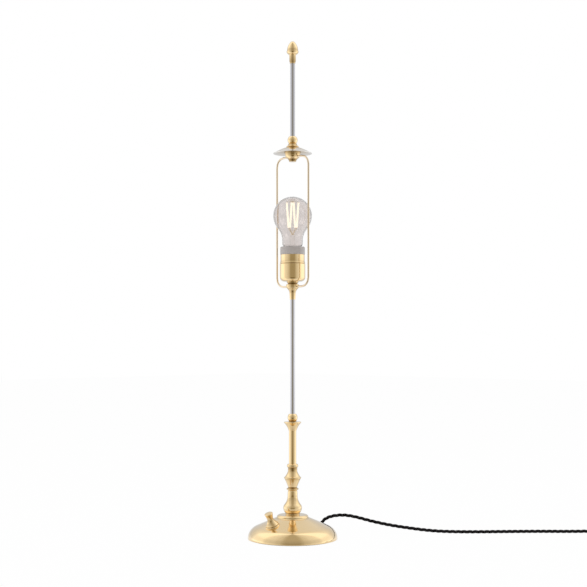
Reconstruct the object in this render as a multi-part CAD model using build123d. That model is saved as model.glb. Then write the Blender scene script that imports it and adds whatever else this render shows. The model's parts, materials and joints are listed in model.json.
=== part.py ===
from build123d import *

import os
from math import atan2, cos, pi, radians, sin, sqrt, tan

# A tall turned brass table lamp. Millimetres, +Z up, origin on the table under the middle of the foot.
# The wire loop lies in the XZ plane, the switch stands on the foot at -Y and the cord leaves at +Y.

# Clearances
SEAT = 0.1  # round a piece that is screwed or pushed onto another
FREE = 0.3  # between pieces that move past each other
RUNNING = 0.06  # round the turning switch shaft
POCKET = 0.6  # round a piece that hangs in a pocket of the weight
PAST = 1.0  # how far a cut runs out past a face

# Foot
BASE_D = 140.0
BASE_H = 38.4
RIM_LIFT = 1.0
SHELL_WALL = 2.5
SHOULDER_IN = 14.0  # how far the round shoulder reaches in from the rim
SHOULDER_D = BASE_D - 2 * SHOULDER_IN
SHOULDER_H = 20.8
SHOULDER_BOW = 3.7
STEP_D = 56.0
BOSS_H = 5.6
STEP_H = BASE_H - BOSS_H
STEP_BOW = 0.6
BOSS_D = 42.0
BOSS_EDGE = 3.6
FELT_T = 1.5
FELT_INSET = 1.0
BALLAST_GAP = 1.2
BALLAST_HUB_D = 32.0
COUNTERBORE_D = 30.0
COUNTERBORE_H = 8.5
BASE_WASHER_D = 24.0
BASE_WASHER_T = 1.5
BASE_NUT_AF = 14.0
BASE_NUT_H = 5.0
NUT_EDGE = 0.8

# Rotary switch on the slope of the foot
SWITCH_IN = 25.0  # how far the switch stands in from the rim
SWITCH_R = BASE_D / 2 - SWITCH_IN
SPOT_FACE = 0.6
INNER_SPOT_FACE = 0.4
SWITCH_BODY_D = 20.0
SWITCH_BODY_H = 13.0
SWITCH_NECK_D = 8.0
SWITCH_WASHER_D = 23.0
SWITCH_WASHER_T = 2.1
SWITCH_NUT_AF = 10.5
SWITCH_NUT_H = 2.0
SHAFT_D = 4.0
SHAFT_DEPTH = 8.0
KNOB_D = 20.4
KNOB_LIP = 1.4
KNOB_NECK_D = 7.4
KNOB_NECK_H = 9.8
KNOB_NECK_BOW = 1.0
KNOB_HEAD_D = 12.8
KNOB_FLARE_H = 9.0
KNOB_FLARE_BOW = 0.5
KNOB_EDGE_H = 0.8
KNOB_EDGE_IN = 0.4
KNOB_CROWN_H = 0.8

# Column, stacked on one threaded tube
TIE_D = 8.0
TIE_BORE = 5.5
FOOT_D = 22.5
FOOT_H = 2.6
BALUSTER_H = 37.6
BELLY_D = 29.0
BELLY_RISE = 9.4
BELLY_BOW = 1.2
BELLY_TOP_D = 24.4
BELLY_TOP_RISE = 4.5
BELLY_TOP_BOW = 0.35
WAIST_D = 15.6
WAIST_RISE = 13.6
WAIST_BOW = 1.3
BALUSTER_NECK_D = 15.0
BALUSTER_EDGE = 1.5
BEAD_D = 18.7
BEAD_NECK_D = 14.0
BEAD_H = 5.2
BEAD_SLOPE_H = 0.8
BEAD_ROUND_H = 2.8
BEAD_BOW = 1.2
KNOP_D = 26.7
KNOP_H = 16.4
KNOP_FLARE_H = 13.1
KNOP_FLARE_BOW = 0.2
KNOP_RIM_H = 2.5
KNOP_RIM_BOW = 0.65
KNOP_TOP_D = 23.4
NECK_D = 14.4
NECK_H = 19.6
NECK_SWEEP_H = 8.2
NECK_SWEEP_BOW = 0.4
NECK_RING_D = 17.4
NECK_RING_H = 6.0
NECK_RING_EDGE = 0.5
NECK_RING_BOW = 0.9
TUBE_D = 11.4
TUBE_H = 51.8
CUP_FOOT_D = 12.4
CUP_D = 26.7
CUP_H = 13.7
CUP_BOW = 1.0
CUP_LIP_H = 1.1
CUP_LIP_EDGE = 0.5
CUP_DISH = 0.3
CUP_COLLAR_D = 12.3
CUP_COLLAR_H = 0.8
BALL_D = 15.6
BALL_H = 11.5
TIE_IN_BALL = 4.8
ROD_IN_BALL = 5.7

# Steel rods and what stands on them
ROD_D = 7.5
ROD_BORE = 5.5
LOWER_ROD_H = 177.6
FERRULE_D = 8.8
FERRULE_H = 17.2
FERRULE_FLARE_D = 9.8
FERRULE_FLARE_H = 9.0
FERRULE_TOP_D = 17.6
FERRULE_BOW = 1.2
ROD_IN_HUB = 2.3
HUB_D = 20.0
HUB_H = 10.7
HUB_FLARE_H = 2.0
HUB_FLARE_BOW = 0.1
HUB_BAND_H = 4.2
HUB_GROOVE_D = 15.0
HUB_GROOVE_H = 0.8
HUB_RING_D = 18.0
UPPER_ROD_H = 113.4
LEAD_D = 1.8
LEAD_GAP = 0.3

# Wire loop and the hub on top of it
WIRE_D = 3.0
WIRE_DEPTH = 4.7  # how far from the axis the wire's end sits in a hub
LOOP_W = 67.0
LOOP_H = 201.7
LOOP_BEND = 14.0
WIRE_OVER_HUB = 2.8
BUTTON_D = 11.6
BUTTON_H = 4.3
BUTTON_EDGE = 1.2
BUTTON_SIDE_H = 1.4
BUTTON_SLOPE_H = 0.6
BUTTON_RING_D = 14.6
BUTTON_FLOOR = 1.4
BOWL_D = 24.0
BOWL_H = 6.4
BOWL_BOW = 0.9
BOWL_RIM_H = 1.0
BOWL_STEM_D = 15.0
WIRE_IN_BOWL = 3.3
DISC_D = 60.0
DISC_T = 1.0
DISC_RISE = 9.6
DISC_BOW = 0.8
DISC_LIP_W = 1.5
DISC_LIP_DROP = 0.2
DISC_TOP_D = 18.4
DISC_OVER_BOWL = 2.0
COLLAR_D = 19.6
COLLAR_H = 5.5
COLLAR_EDGE = 0.6
COLLAR_BAND_H = 0.6
COLLAR_SWEEP_H = 3.5
COLLAR_SWEEP_BOW = 0.3
COLLAR_NECK_D = 13.6
UPPER_BALL_H = 11.6

# Finial
STUD_L = 12.0
FINIAL_FOOT_D = 8.8
FINIAL_FOOT_H = 2.6
FINIAL_FOOT_EDGE = 0.6
FINIAL_CUP_D = 10.2
FINIAL_CUP_H = 13.9
FINIAL_LIP_D = 10.8
FINIAL_LIP_H = 1.7
ACORN_D = 18.8
ACORN_H = 20.7
ACORN_FOOT_D = 11.2
ACORN_FOOT_H = 3.6
ACORN_FOOT_BOW = 0.5
ACORN_LIP_H = 1.0
ACORN_SIDE_D = 17.4
ACORN_SIDE_H = 1.4
ACORN_BOW = 1.35
ACORN_TIP_D = 6.4
ACORN_TIP_H = 1.3

# Lampholder
NIPPLE_D = 9.8
NIPPLE_BORE = 6.0
NIPPLE_SUNK = 4.0
NIPPLE_RISE = 8.5
HOLDER_NUT_AF = 14.0
HOLDER_NUT_H = 4.0
HOLDER_D = 39.6
HOLDER_WALL = 0.8
CAP_H = 27.6
CAP_FLAT_D = 25.0
CAP_DOME_H = 5.6
CAP_DOME_BOW = 1.55
CAP_EDGE = 0.5
CORE_D = 35.0
CORE_H = 15.0
CORE_FLANGE_H = 4.0
LEADS_IN_CORE = 4.0
HOLDER_SHELL_H = 18.3
SCREW_SHELL_D = 27.2
SCREW_SHELL_WALL = 0.7
SCREW_SHELL_H = 22.0
CONTACT_D = 10.0
CONTACT_H = 4.0
CONTACT_FOOT_H = 0.8
CONTACT_SHOULDER_D = 6.0
CONTACT_SHOULDER_H = 1.6
CONTACT_TIP_D = 4.0
CONTACT_BOW = 0.3
SKIRT_D = 38.5
SKIRT_H = 12.3
SKIRT_BORE = 30.8
SKIRT_SPIGOT_H = 6.0
SKIRT_EDGE = 0.5
SKIRT_ROUND = 1.8
SKIRT_BORE_ROUND = 1.0

# Bulb
GLASS_D = 60.0
GLASS_WALL = 0.8
GLASS_NECK_D = 32.4
GLASS_NECK_H = 9.0
GLASS_SHOULDER_D = 31.8
GLASS_SHOULDER_H = 2.9
GLASS_SHOULDER_BOW = 0.6
GLASS_SWEEP_BOW = 1.6
GLASS_JOIN = 38.0  # degrees below the middle where the crown's sphere ends
BULB_L = 104.2
BULB_CAP_D = 26.4
BULB_CAP_WALL = 0.6
BULB_CAP_H = 21.5
BULB_CAP_EDGE = 1.0
NECK_IN_CAP = 9.0
TIP_D = 9.6
TIP_H = 1.2
INSULATOR_H = 3.8
INSULATOR_D = 10.8
INSULATOR_BOW = 0.4
FLANGE_T = 1.5
LEDGE_W = 1.4
STEM_D = 6.4
STEM_H = 27.0
STEM_FLARE_D = 8.0
STEM_FLARE_H = 9.9
STEM_FLARE_BOW = 3.0
STEM_SIDE_H = 13.0
STEM_TIP_D = 5.6
POST_D = 1.8
FILAMENT_D = 1.7
FILAMENT_L = 51.0
FILAMENT_TOP_X = 9.2
FILAMENT_INNER_TOP_X = 1.4
FILAMENT_INNER_TOP_Y = 3.5
FILAMENT_FOOT_X = 6.4
FILAMENT_INNER_FOOT_X = 4.0
FILAMENT_FOOT_Y = 1.5
FILAMENT_TAB_L = 1.4
FILAMENT_TURN = 43.5  # the filaments' broad side faces this way round the axis
SUPPORT_D = 0.8
LEAD_RISE = 9.5  # how far the lower wires climb to the sticks
UPPER_STAR_D = 4.4

# Cord
CORD_D = 5.5
BUSHING_D = 12.0
BUSHING_T = 1.6
BUSHING_LIP = 1.0
BUSHING_LIP_BOW = 0.2
BUSHING_SLEEVE_D = 8.6
BUSHING_DEPTH = 7.0
BUSHING_FLOOR = 1.0
BUSHING_SPOT = 0.8
EXIT_RISE = 45.0  # degrees up from the table
EXIT_RUN = 8.0
COIL_R = 40.5
COIL_PITCH = 6.1
COIL_TURNS = 7.0  # half of them in on the lower layer, and half out again on the upper one
COIL_TAIL = 37.0
TIE_BAND_T = 0.9
TIE_BAND_W = 6.0
PLUG_L = 38.0
PLUG_W = 27.0
PLUG_NECK = 9.5
PLUG_GRIP = 11.4
PLUG_GRIP_L = 13.7
PLUG_SHOULDER_L = 7.2
PLUG_CORNER = 0.42  # corner radius as a share of the section's shorter side
PIN_D = 4.0
PIN_L = 19.0
PIN_SPACING = 19.0
CORD_ROUTE = [
    (3.0, 78.2, 26.4),
    (9.6, 89.4, 29.0),
    (19.6, 101.3, 29.4),
    (32.5, 114.0, 26.2),
    (49.6, 129.3, 19.8),
    (72.2, 149.1, 13.4),
    (97.6, 171.7, 8.4),
    (124.4, 195.8, 4.2),
    (152.9, 222.3, 2.9),
    (182.6, 252.1, 2.8),
    (213.6, 286.3, 2.8),
    (247.2, 320.6, 2.8),
    (282.5, 351.6, 2.8),
    (314.3, 377.7, 3.95),
    (341.9, 402.4, 3.95),
]

# Heights, each from the piece below
BALUSTER_TOP = BASE_H + BALUSTER_H
BEAD_TOP = BALUSTER_TOP + BEAD_H
KNOP_TOP = BEAD_TOP + KNOP_H
NECK_TOP = KNOP_TOP + NECK_H
TUBE_TOP = NECK_TOP + TUBE_H
CUP_TOP = TUBE_TOP + CUP_H + CUP_COLLAR_H
BALL_TOP = CUP_TOP + BALL_H
FERRULE_FOOT = BALL_TOP + LOWER_ROD_H
HUB_FOOT = FERRULE_FOOT + FERRULE_H
HUB_TOP = HUB_FOOT + HUB_H
LOOP_FOOT = HUB_FOOT + WIRE_OVER_HUB
LOOP_TOP = LOOP_FOOT + LOOP_H
BOWL_FOOT = LOOP_TOP - WIRE_IN_BOWL
BOWL_TOP = BOWL_FOOT + BOWL_H
DISC_SEAT = BOWL_TOP + DISC_OVER_BOWL + DISC_RISE - DISC_T
COLLAR_FOOT = DISC_SEAT + DISC_T
UPPER_BALL_FOOT = COLLAR_FOOT + COLLAR_H
UPPER_ROD_FOOT = UPPER_BALL_FOOT + UPPER_BALL_H
FINIAL_FOOT = UPPER_ROD_FOOT + UPPER_ROD_H
CORE_FOOT = HUB_TOP + NIPPLE_RISE
CORE_TOP = CORE_FOOT + CORE_H
HOLDER_TOP = CORE_TOP + HOLDER_SHELL_H
BULB_FOOT = CORE_TOP + CONTACT_H + FREE

os.makedirs("parts", exist_ok=True)


def round_bow(radius):
    """The bow of a quarter round."""
    return radius * (1 - cos(pi / 4))


def crown_bow(radius, height):
    """The bow of a crown that rises from a radius to a point on the axis, as part of a ball."""
    ball_r = (radius**2 + height**2) / (2 * height)
    return ball_r - sqrt(ball_r**2 - (radius**2 + height**2) / 4)


def ball_end(height):
    """The radius of the flats that leave a ball this height."""
    return sqrt((BALL_D / 2) ** 2 - (height / 2) ** 2)


def lathe(outline):
    """Turn an outline of (radius, height) points about Z, anticlockwise from its foot.

    A third number bows the stretch that ends at that point, outwards where it is above zero.
    """
    edges = []
    for start, end in zip(outline, outline[1:] + outline[:1]):
        bow = end[2] if len(end) == 3 else 0
        if bow:
            edges.append(SagittaArc(start[:2], end[:2], -bow))
        else:
            edges.append(Line(start[:2], end[:2]))
    return revolve(Plane.XZ * make_face(edges), Axis.Z)


def rod(diameter, foot, top):
    """An upright cylinder between two heights."""
    on_foot = (Align.CENTER, Align.CENTER, Align.MIN)
    return Pos(0, 0, foot) * Cylinder(diameter / 2, top - foot, align=on_foot)


def tube(diameter, bore, foot, top):
    """An upright tube between two heights."""
    return rod(diameter, foot, top) - rod(bore, foot - PAST, top + PAST)


def hex_nut(across_flats, bore, foot, height):
    """A hexagon nut with its corners turned down a little at both ends."""
    corner = across_flats / sqrt(3)
    blank = Pos(0, 0, foot) * extrude(RegularPolygon(across_flats / 2, 6, major_radius=False), height)
    turned = lathe([
        (bore / 2, foot),
        (corner - NUT_EDGE, foot),
        (corner + SEAT, foot + NUT_EDGE),
        (corner + SEAT, foot + height - NUT_EDGE),
        (corner - NUT_EDGE, foot + height),
        (bore / 2, foot + height),
    ])
    return blank & turned


def wire(points, radii, diameter):
    """A round wire along straight runs with rounded corners."""
    path = FilletPolyline(*points, radius=radii) if len(points) > 2 else Line(*points)
    heading = Vector(points[1]) - Vector(points[0])
    return sweep(Plane(points[0], z_dir=heading) * Circle(diameter / 2), path=path)


def save(node, shape):
    """Write one sub-part."""
    export_step(shape, f"parts/{node}.step")


# Foot

SLOPE = atan2(STEP_H - SHOULDER_H, (SHOULDER_D - STEP_D) / 2)


def foot_outline(inset):
    """The foot's outline from rim to step, moved inwards by a wall."""
    along, down = inset * sin(SLOPE), inset * cos(SLOPE)
    return [
        (BASE_D / 2 - inset, RIM_LIFT),
        (SHOULDER_D / 2 - along, SHOULDER_H - down, SHOULDER_BOW),
        (STEP_D / 2 - along, STEP_H - down),
    ]


SWITCH_Z = SHOULDER_H + (SHOULDER_D / 2 - SWITCH_R) * tan(SLOPE)
switch_plane = Plane((0, -SWITCH_R, SWITCH_Z), x_dir=(1, 0, 0), z_dir=(0, -sin(SLOPE), cos(SLOPE)))
SWITCH_SEAT = INNER_SPOT_FACE - SHELL_WALL
WASHER_TOP = SWITCH_WASHER_T - SPOT_FACE
KNOB_FOOT = WASHER_TOP + FREE

# The cord leaves square to the round shoulder of the foot, whose arc these values place
chord_r = (BASE_D - SHOULDER_D) / 2
chord_z = SHOULDER_H - RIM_LIFT
chord = sqrt(chord_r**2 + chord_z**2)
SHOULDER_R = (chord**2 / 4 + SHOULDER_BOW**2) / (2 * SHOULDER_BOW)
SHOULDER_MID_R = (BASE_D + SHOULDER_D) / 4 + (SHOULDER_BOW - SHOULDER_R) * chord_z / chord
SHOULDER_MID_Z = (RIM_LIFT + SHOULDER_H) / 2 + (SHOULDER_BOW - SHOULDER_R) * chord_r / chord
exit_dir = Vector(0, cos(radians(EXIT_RISE)), sin(radians(EXIT_RISE)))
exit_point = Vector(0, SHOULDER_MID_R, SHOULDER_MID_Z) + exit_dir * SHOULDER_R
exit_plane = Plane(exit_point, x_dir=(1, 0, 0), z_dir=exit_dir)


def make_foot():
    """The domed shell, its iron weight, the felt under it, and the nut that holds all to the column."""
    tie_hole = rod(TIE_D + 2 * SEAT, -PAST, BASE_H + PAST)
    boss_r = BOSS_D / 2
    outside = lathe([(0, RIM_LIFT)] + foot_outline(0) + [
        (boss_r + BOSS_EDGE, BASE_H - BOSS_EDGE, -STEP_BOW),
        (boss_r, BASE_H, round_bow(BOSS_EDGE)),
        (0, BASE_H),
    ])
    rim_inside = foot_outline(SHELL_WALL)[0][0]
    inside = lathe([(0, 0), (rim_inside, 0)] + foot_outline(SHELL_WALL) + [
        (boss_r, BASE_H - SHELL_WALL),
        (0, BASE_H - SHELL_WALL),
    ])
    switch_cuts = (
        rod(SWITCH_WASHER_D + 2 * SEAT, -SPOT_FACE, SHELL_WALL)
        + rod(SWITCH_NECK_D + 2 * SEAT, -2 * SHELL_WALL, SHELL_WALL)
        + rod(SWITCH_BODY_D + 2 * FREE, SWITCH_SEAT - SHELL_WALL, SWITCH_SEAT)
    )
    exit_cuts = (
        rod(BUSHING_D + 2 * SEAT, -BUSHING_SPOT, SHELL_WALL)
        + rod(BUSHING_SLEEVE_D + 2 * SEAT, -2 * SHELL_WALL, SHELL_WALL)
    )
    shell = outside - inside - tie_hole - switch_plane * switch_cuts - exit_plane * exit_cuts
    save("base_shell", shell)

    rim, shoulder, step = foot_outline(SHELL_WALL + BALLAST_GAP)
    hub_r = BALLAST_HUB_D / 2
    weight = lathe([
        (0, FELT_T),
        (rim[0], FELT_T),
        shoulder,
        step,
        (hub_r, step[1]),
        (hub_r, BASE_H - SHELL_WALL),
        (0, BASE_H - SHELL_WALL),
    ])
    counterbore = rod(COUNTERBORE_D, 0, FELT_T + COUNTERBORE_H)
    switch_pocket = rod(SWITCH_BODY_D + 2 * POCKET, SWITCH_SEAT - SWITCH_BODY_H - FREE, SHELL_WALL)
    exit_pocket = rod(BUSHING_SLEEVE_D + 2 * POCKET, -BUSHING_DEPTH - FREE, SHELL_WALL)
    weight = weight - tie_hole - counterbore - switch_plane * switch_pocket - exit_plane * exit_pocket
    save("ballast", weight)
    save("felt_pad", rod(BASE_D - 2 * (SHELL_WALL + FELT_INSET), 0, FELT_T))

    washer_top = FELT_T + COUNTERBORE_H
    nut_top = washer_top - BASE_WASHER_T
    save("base_washer", tube(BASE_WASHER_D, TIE_D + 2 * SEAT, nut_top, washer_top))
    save("base_nut", hex_nut(BASE_NUT_AF, TIE_D + 2 * SEAT, nut_top - BASE_NUT_H, BASE_NUT_H))
    return nut_top - BASE_NUT_H


def make_switch():
    """The rotary switch, built upright and then set square to the slope of the foot."""
    neck_top = WASHER_TOP + SWITCH_NUT_H
    body = rod(SWITCH_BODY_D, SWITCH_SEAT - SWITCH_BODY_H, SWITCH_SEAT)
    body += rod(SWITCH_NECK_D, SWITCH_SEAT, neck_top)
    body -= rod(SHAFT_D + 2 * RUNNING, SWITCH_SEAT - SHAFT_DEPTH, neck_top + PAST)
    save("switch_body", switch_plane * body)
    washer = tube(SWITCH_WASHER_D, SWITCH_NECK_D + 2 * SEAT, -SPOT_FACE, WASHER_TOP)
    save("switch_washer", switch_plane * washer)
    nut = hex_nut(SWITCH_NUT_AF, SWITCH_NECK_D + 2 * SEAT, WASHER_TOP, SWITCH_NUT_H)
    save("switch_nut", switch_plane * nut)

    neck_z = KNOB_FOOT + KNOB_NECK_H
    head_z = neck_z + KNOB_FLARE_H
    crown_z = head_z + KNOB_EDGE_H
    head_r = KNOB_HEAD_D / 2
    crown_r = head_r - KNOB_EDGE_IN
    knob = lathe([
        (0, KNOB_FOOT),
        (KNOB_D / 2, KNOB_FOOT),
        (KNOB_D / 2, KNOB_FOOT + KNOB_LIP),
        (KNOB_NECK_D / 2, neck_z, -KNOB_NECK_BOW),
        (head_r, head_z, -KNOB_FLARE_BOW),
        (crown_r, crown_z),
        (0, crown_z + KNOB_CROWN_H, crown_bow(crown_r, KNOB_CROWN_H)),
    ])
    nut_corners = SWITCH_NUT_AF * 2 / sqrt(3)
    nut_room = rod(nut_corners + 2 * POCKET, KNOB_FOOT - PAST, neck_top + POCKET)
    knob -= nut_room + rod(SHAFT_D + 2 * RUNNING, KNOB_FOOT, neck_z)
    save("switch_knob", switch_plane * knob)
    save("switch_shaft", switch_plane * rod(SHAFT_D, SWITCH_SEAT - SHAFT_DEPTH + FREE, neck_z))


def make_column(tube_foot):
    """The turned pieces from the foot up to the ball, threaded on the tie tube."""
    bore = TIE_D / 2 + SEAT
    belly_z = BASE_H + FOOT_H + BELLY_RISE
    belly_top = belly_z + BELLY_TOP_RISE
    save("column_baluster", lathe([
        (bore, BASE_H),
        (FOOT_D / 2, BASE_H),
        (FOOT_D / 2, BASE_H + FOOT_H),
        (BELLY_D / 2, belly_z, BELLY_BOW),
        (BELLY_TOP_D / 2, belly_top, BELLY_TOP_BOW),
        (WAIST_D / 2, belly_top + WAIST_RISE, -WAIST_BOW),
        (BALUSTER_NECK_D / 2, BALUSTER_TOP - BALUSTER_EDGE),
        (BEAD_NECK_D / 2, BALUSTER_TOP),
        (bore, BALUSTER_TOP),
    ]))
    bead_r = BEAD_D / 2 - BEAD_BOW
    bead_z = BALUSTER_TOP + BEAD_SLOPE_H
    save("column_bead", lathe([
        (bore, BALUSTER_TOP),
        (BEAD_NECK_D / 2, BALUSTER_TOP),
        (bead_r, bead_z),
        (bead_r, bead_z + BEAD_ROUND_H, BEAD_BOW),
        (BEAD_NECK_D / 2, bead_z + BEAD_ROUND_H + BEAD_SLOPE_H),
        (BEAD_NECK_D / 2, BEAD_TOP),
        (bore, BEAD_TOP),
    ]))
    knop_r = KNOP_D / 2 - KNOP_RIM_BOW
    save("column_knop", lathe([
        (bore, BEAD_TOP),
        (BEAD_NECK_D / 2, BEAD_TOP),
        (knop_r, BEAD_TOP + KNOP_FLARE_H, -KNOP_FLARE_BOW),
        (knop_r, BEAD_TOP + KNOP_FLARE_H + KNOP_RIM_H, KNOP_RIM_BOW),
        (KNOP_TOP_D / 2, KNOP_TOP),
        (bore, KNOP_TOP),
    ]))
    ring_foot = NECK_TOP - NECK_RING_H
    ring_r = NECK_RING_D / 2 - NECK_RING_BOW
    save("column_neck", lathe([
        (bore, KNOP_TOP),
        (KNOP_TOP_D / 2, KNOP_TOP),
        (NECK_D / 2, KNOP_TOP + NECK_SWEEP_H, -NECK_SWEEP_BOW),
        (NECK_D / 2, ring_foot),
        (ring_r, ring_foot + NECK_RING_EDGE),
        (ring_r, NECK_TOP - NECK_RING_EDGE, NECK_RING_BOW),
        (NECK_D / 2, NECK_TOP),
        (bore, NECK_TOP),
    ]))
    save("column_tube", tube(TUBE_D, 2 * bore, NECK_TOP, TUBE_TOP))
    rim_z = TUBE_TOP + CUP_H
    lip_z = rim_z - CUP_LIP_EDGE
    save("column_cup", lathe([
        (bore, TUBE_TOP),
        (CUP_FOOT_D / 2, TUBE_TOP),
        (CUP_D / 2, lip_z - CUP_LIP_H, -CUP_BOW),
        (CUP_D / 2, lip_z),
        (CUP_D / 2 - CUP_LIP_EDGE, rim_z),
        (CUP_COLLAR_D / 2, rim_z - CUP_DISH),
        (CUP_COLLAR_D / 2, CUP_TOP),
        (bore, CUP_TOP),
    ]))
    tie_top = CUP_TOP + TIE_IN_BALL
    rod_foot = BALL_TOP - ROD_IN_BALL
    end_r = ball_end(BALL_H)
    ball = lathe([
        (0, CUP_TOP),
        (end_r, CUP_TOP),
        (end_r, BALL_TOP, BALL_D / 2 - end_r),
        (0, BALL_TOP),
    ])
    ball -= rod(2 * bore, CUP_TOP - PAST, tie_top)
    ball -= rod(ROD_BORE, CUP_TOP, BALL_TOP)
    ball -= rod(ROD_D + 2 * SEAT, rod_foot, BALL_TOP + PAST)
    save("column_ball", ball)
    save("tie_tube", tube(TIE_D, TIE_BORE, tube_foot, tie_top))
    return rod_foot


# Stem and loop


def wire_holes(height):
    """Two holes for the wire's ends, across a hub on its X axis."""
    on_end = (Align.CENTER, Align.CENTER, Align.MIN)
    hole = Cylinder(WIRE_D / 2 + SEAT, LOOP_W / 2 - WIRE_DEPTH, align=on_end)
    return [Plane((side * WIRE_DEPTH, 0, height), z_dir=(side, 0, 0)) * hole for side in (-1, 1)]


def make_stem(rod_foot):
    """The lower steel rod, the ferrule on it, the hub that takes the wire, and the leads inside."""
    rod_top = HUB_FOOT + ROD_IN_HUB
    save("lower_rod", tube(ROD_D, ROD_BORE, rod_foot, rod_top))
    bore = ROD_D / 2 + SEAT
    save("stem_ferrule", lathe([
        (bore, FERRULE_FOOT),
        (FERRULE_D / 2, FERRULE_FOOT),
        (FERRULE_FLARE_D / 2, FERRULE_FOOT + FERRULE_FLARE_H),
        (FERRULE_TOP_D / 2, HUB_FOOT, -FERRULE_BOW),
        (bore, HUB_FOOT),
    ]))
    band_z = HUB_FOOT + HUB_FLARE_H
    groove_z = band_z + HUB_BAND_H + HUB_GROOVE_H
    ring_z = groove_z + 2 * HUB_GROOVE_H
    hub = lathe([
        (0, HUB_FOOT),
        (FERRULE_TOP_D / 2, HUB_FOOT),
        (HUB_D / 2, band_z, -HUB_FLARE_BOW),
        (HUB_D / 2, band_z + HUB_BAND_H),
        (HUB_GROOVE_D / 2, groove_z),
        (HUB_GROOVE_D / 2, groove_z + HUB_GROOVE_H),
        (HUB_RING_D / 2, ring_z),
        (HUB_RING_D / 2, HUB_TOP),
        (0, HUB_TOP),
    ])
    hub -= rod(2 * bore, HUB_FOOT - PAST, rod_top)
    hub -= rod(ROD_BORE, HUB_FOOT, HUB_TOP)
    hub -= rod(NIPPLE_D + 2 * SEAT, HUB_TOP - NIPPLE_SUNK, HUB_TOP + PAST)
    for hole in wire_holes(LOOP_FOOT):
        hub -= hole
    save("lower_hub", hub)
    lead = rod(LEAD_D, FELT_T, CORE_FOOT + LEADS_IN_CORE)
    offset = (LEAD_D + LEAD_GAP) / 2
    save("riser_leads", Compound([Pos(offset, 0, 0) * lead, Pos(-offset, 0, 0) * lead]))


def make_loop():
    """The two bent halves of the wire loop."""
    half_w = LOOP_W / 2
    for node, side in (("loop_left", -1), ("loop_right", 1)):
        points = [
            (side * WIRE_DEPTH, 0, LOOP_FOOT),
            (side * half_w, 0, LOOP_FOOT),
            (side * half_w, 0, LOOP_TOP),
            (side * WIRE_DEPTH, 0, LOOP_TOP),
        ]
        save(node, wire(points, LOOP_BEND, WIRE_D))


def make_top():
    """The bowl on the loop, the disc that carries a shade, the ball and the upper rod."""
    bore = ROD_D / 2 + SEAT
    button_foot = BOWL_FOOT - BUTTON_H
    side_z = button_foot + BUTTON_EDGE
    slope_z = side_z + BUTTON_SIDE_H
    rod_foot = button_foot + BUTTON_FLOOR
    button = lathe([
        (0, button_foot),
        (BUTTON_D / 2 - BUTTON_EDGE, button_foot),
        (BUTTON_D / 2, side_z, round_bow(BUTTON_EDGE)),
        (BUTTON_D / 2, slope_z),
        (BUTTON_RING_D / 2, slope_z + BUTTON_SLOPE_H),
        (BUTTON_RING_D / 2, BOWL_FOOT),
        (0, BOWL_FOOT),
    ])
    save("hub_button", button - rod(2 * bore, rod_foot, BOWL_FOOT + PAST))
    bowl = lathe([
        (bore, BOWL_FOOT),
        (BUTTON_RING_D / 2, BOWL_FOOT),
        (BOWL_D / 2, BOWL_TOP - BOWL_RIM_H, BOWL_BOW),
        (BOWL_D / 2, BOWL_TOP),
        (BOWL_STEM_D / 2, BOWL_TOP),
        (BOWL_STEM_D / 2, DISC_SEAT),
        (bore, DISC_SEAT),
    ])
    for hole in wire_holes(LOOP_TOP):
        bowl -= hole
    save("upper_hub", bowl)
    rim_z = COLLAR_FOOT - DISC_RISE
    disc_r = DISC_D / 2
    save("shade_disc", lathe([
        (bore, DISC_SEAT),
        (DISC_TOP_D / 2, DISC_SEAT),
        (disc_r - DISC_LIP_W, rim_z, -DISC_BOW),
        (disc_r, rim_z - DISC_LIP_DROP),
        (disc_r, rim_z + DISC_T - DISC_LIP_DROP),
        (disc_r - DISC_LIP_W, rim_z + DISC_T),
        (DISC_TOP_D / 2, COLLAR_FOOT, DISC_BOW),
        (bore, COLLAR_FOOT),
    ]))
    band_z = COLLAR_FOOT + COLLAR_EDGE
    sweep_z = band_z + COLLAR_BAND_H
    save("disc_collar", lathe([
        (bore, COLLAR_FOOT),
        (COLLAR_D / 2 - COLLAR_EDGE, COLLAR_FOOT),
        (COLLAR_D / 2, band_z),
        (COLLAR_D / 2, sweep_z),
        (COLLAR_NECK_D / 2, sweep_z + COLLAR_SWEEP_H, -COLLAR_SWEEP_BOW),
        (COLLAR_NECK_D / 2, UPPER_BALL_FOOT),
        (bore, UPPER_BALL_FOOT),
    ]))
    end_r = ball_end(UPPER_BALL_H)
    save("upper_ball", lathe([
        (bore, UPPER_BALL_FOOT),
        (end_r, UPPER_BALL_FOOT),
        (end_r, UPPER_ROD_FOOT, BALL_D / 2 - end_r),
        (bore, UPPER_ROD_FOOT),
    ]))
    save("upper_rod", tube(ROD_D, ROD_BORE, rod_foot, FINIAL_FOOT))


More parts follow.
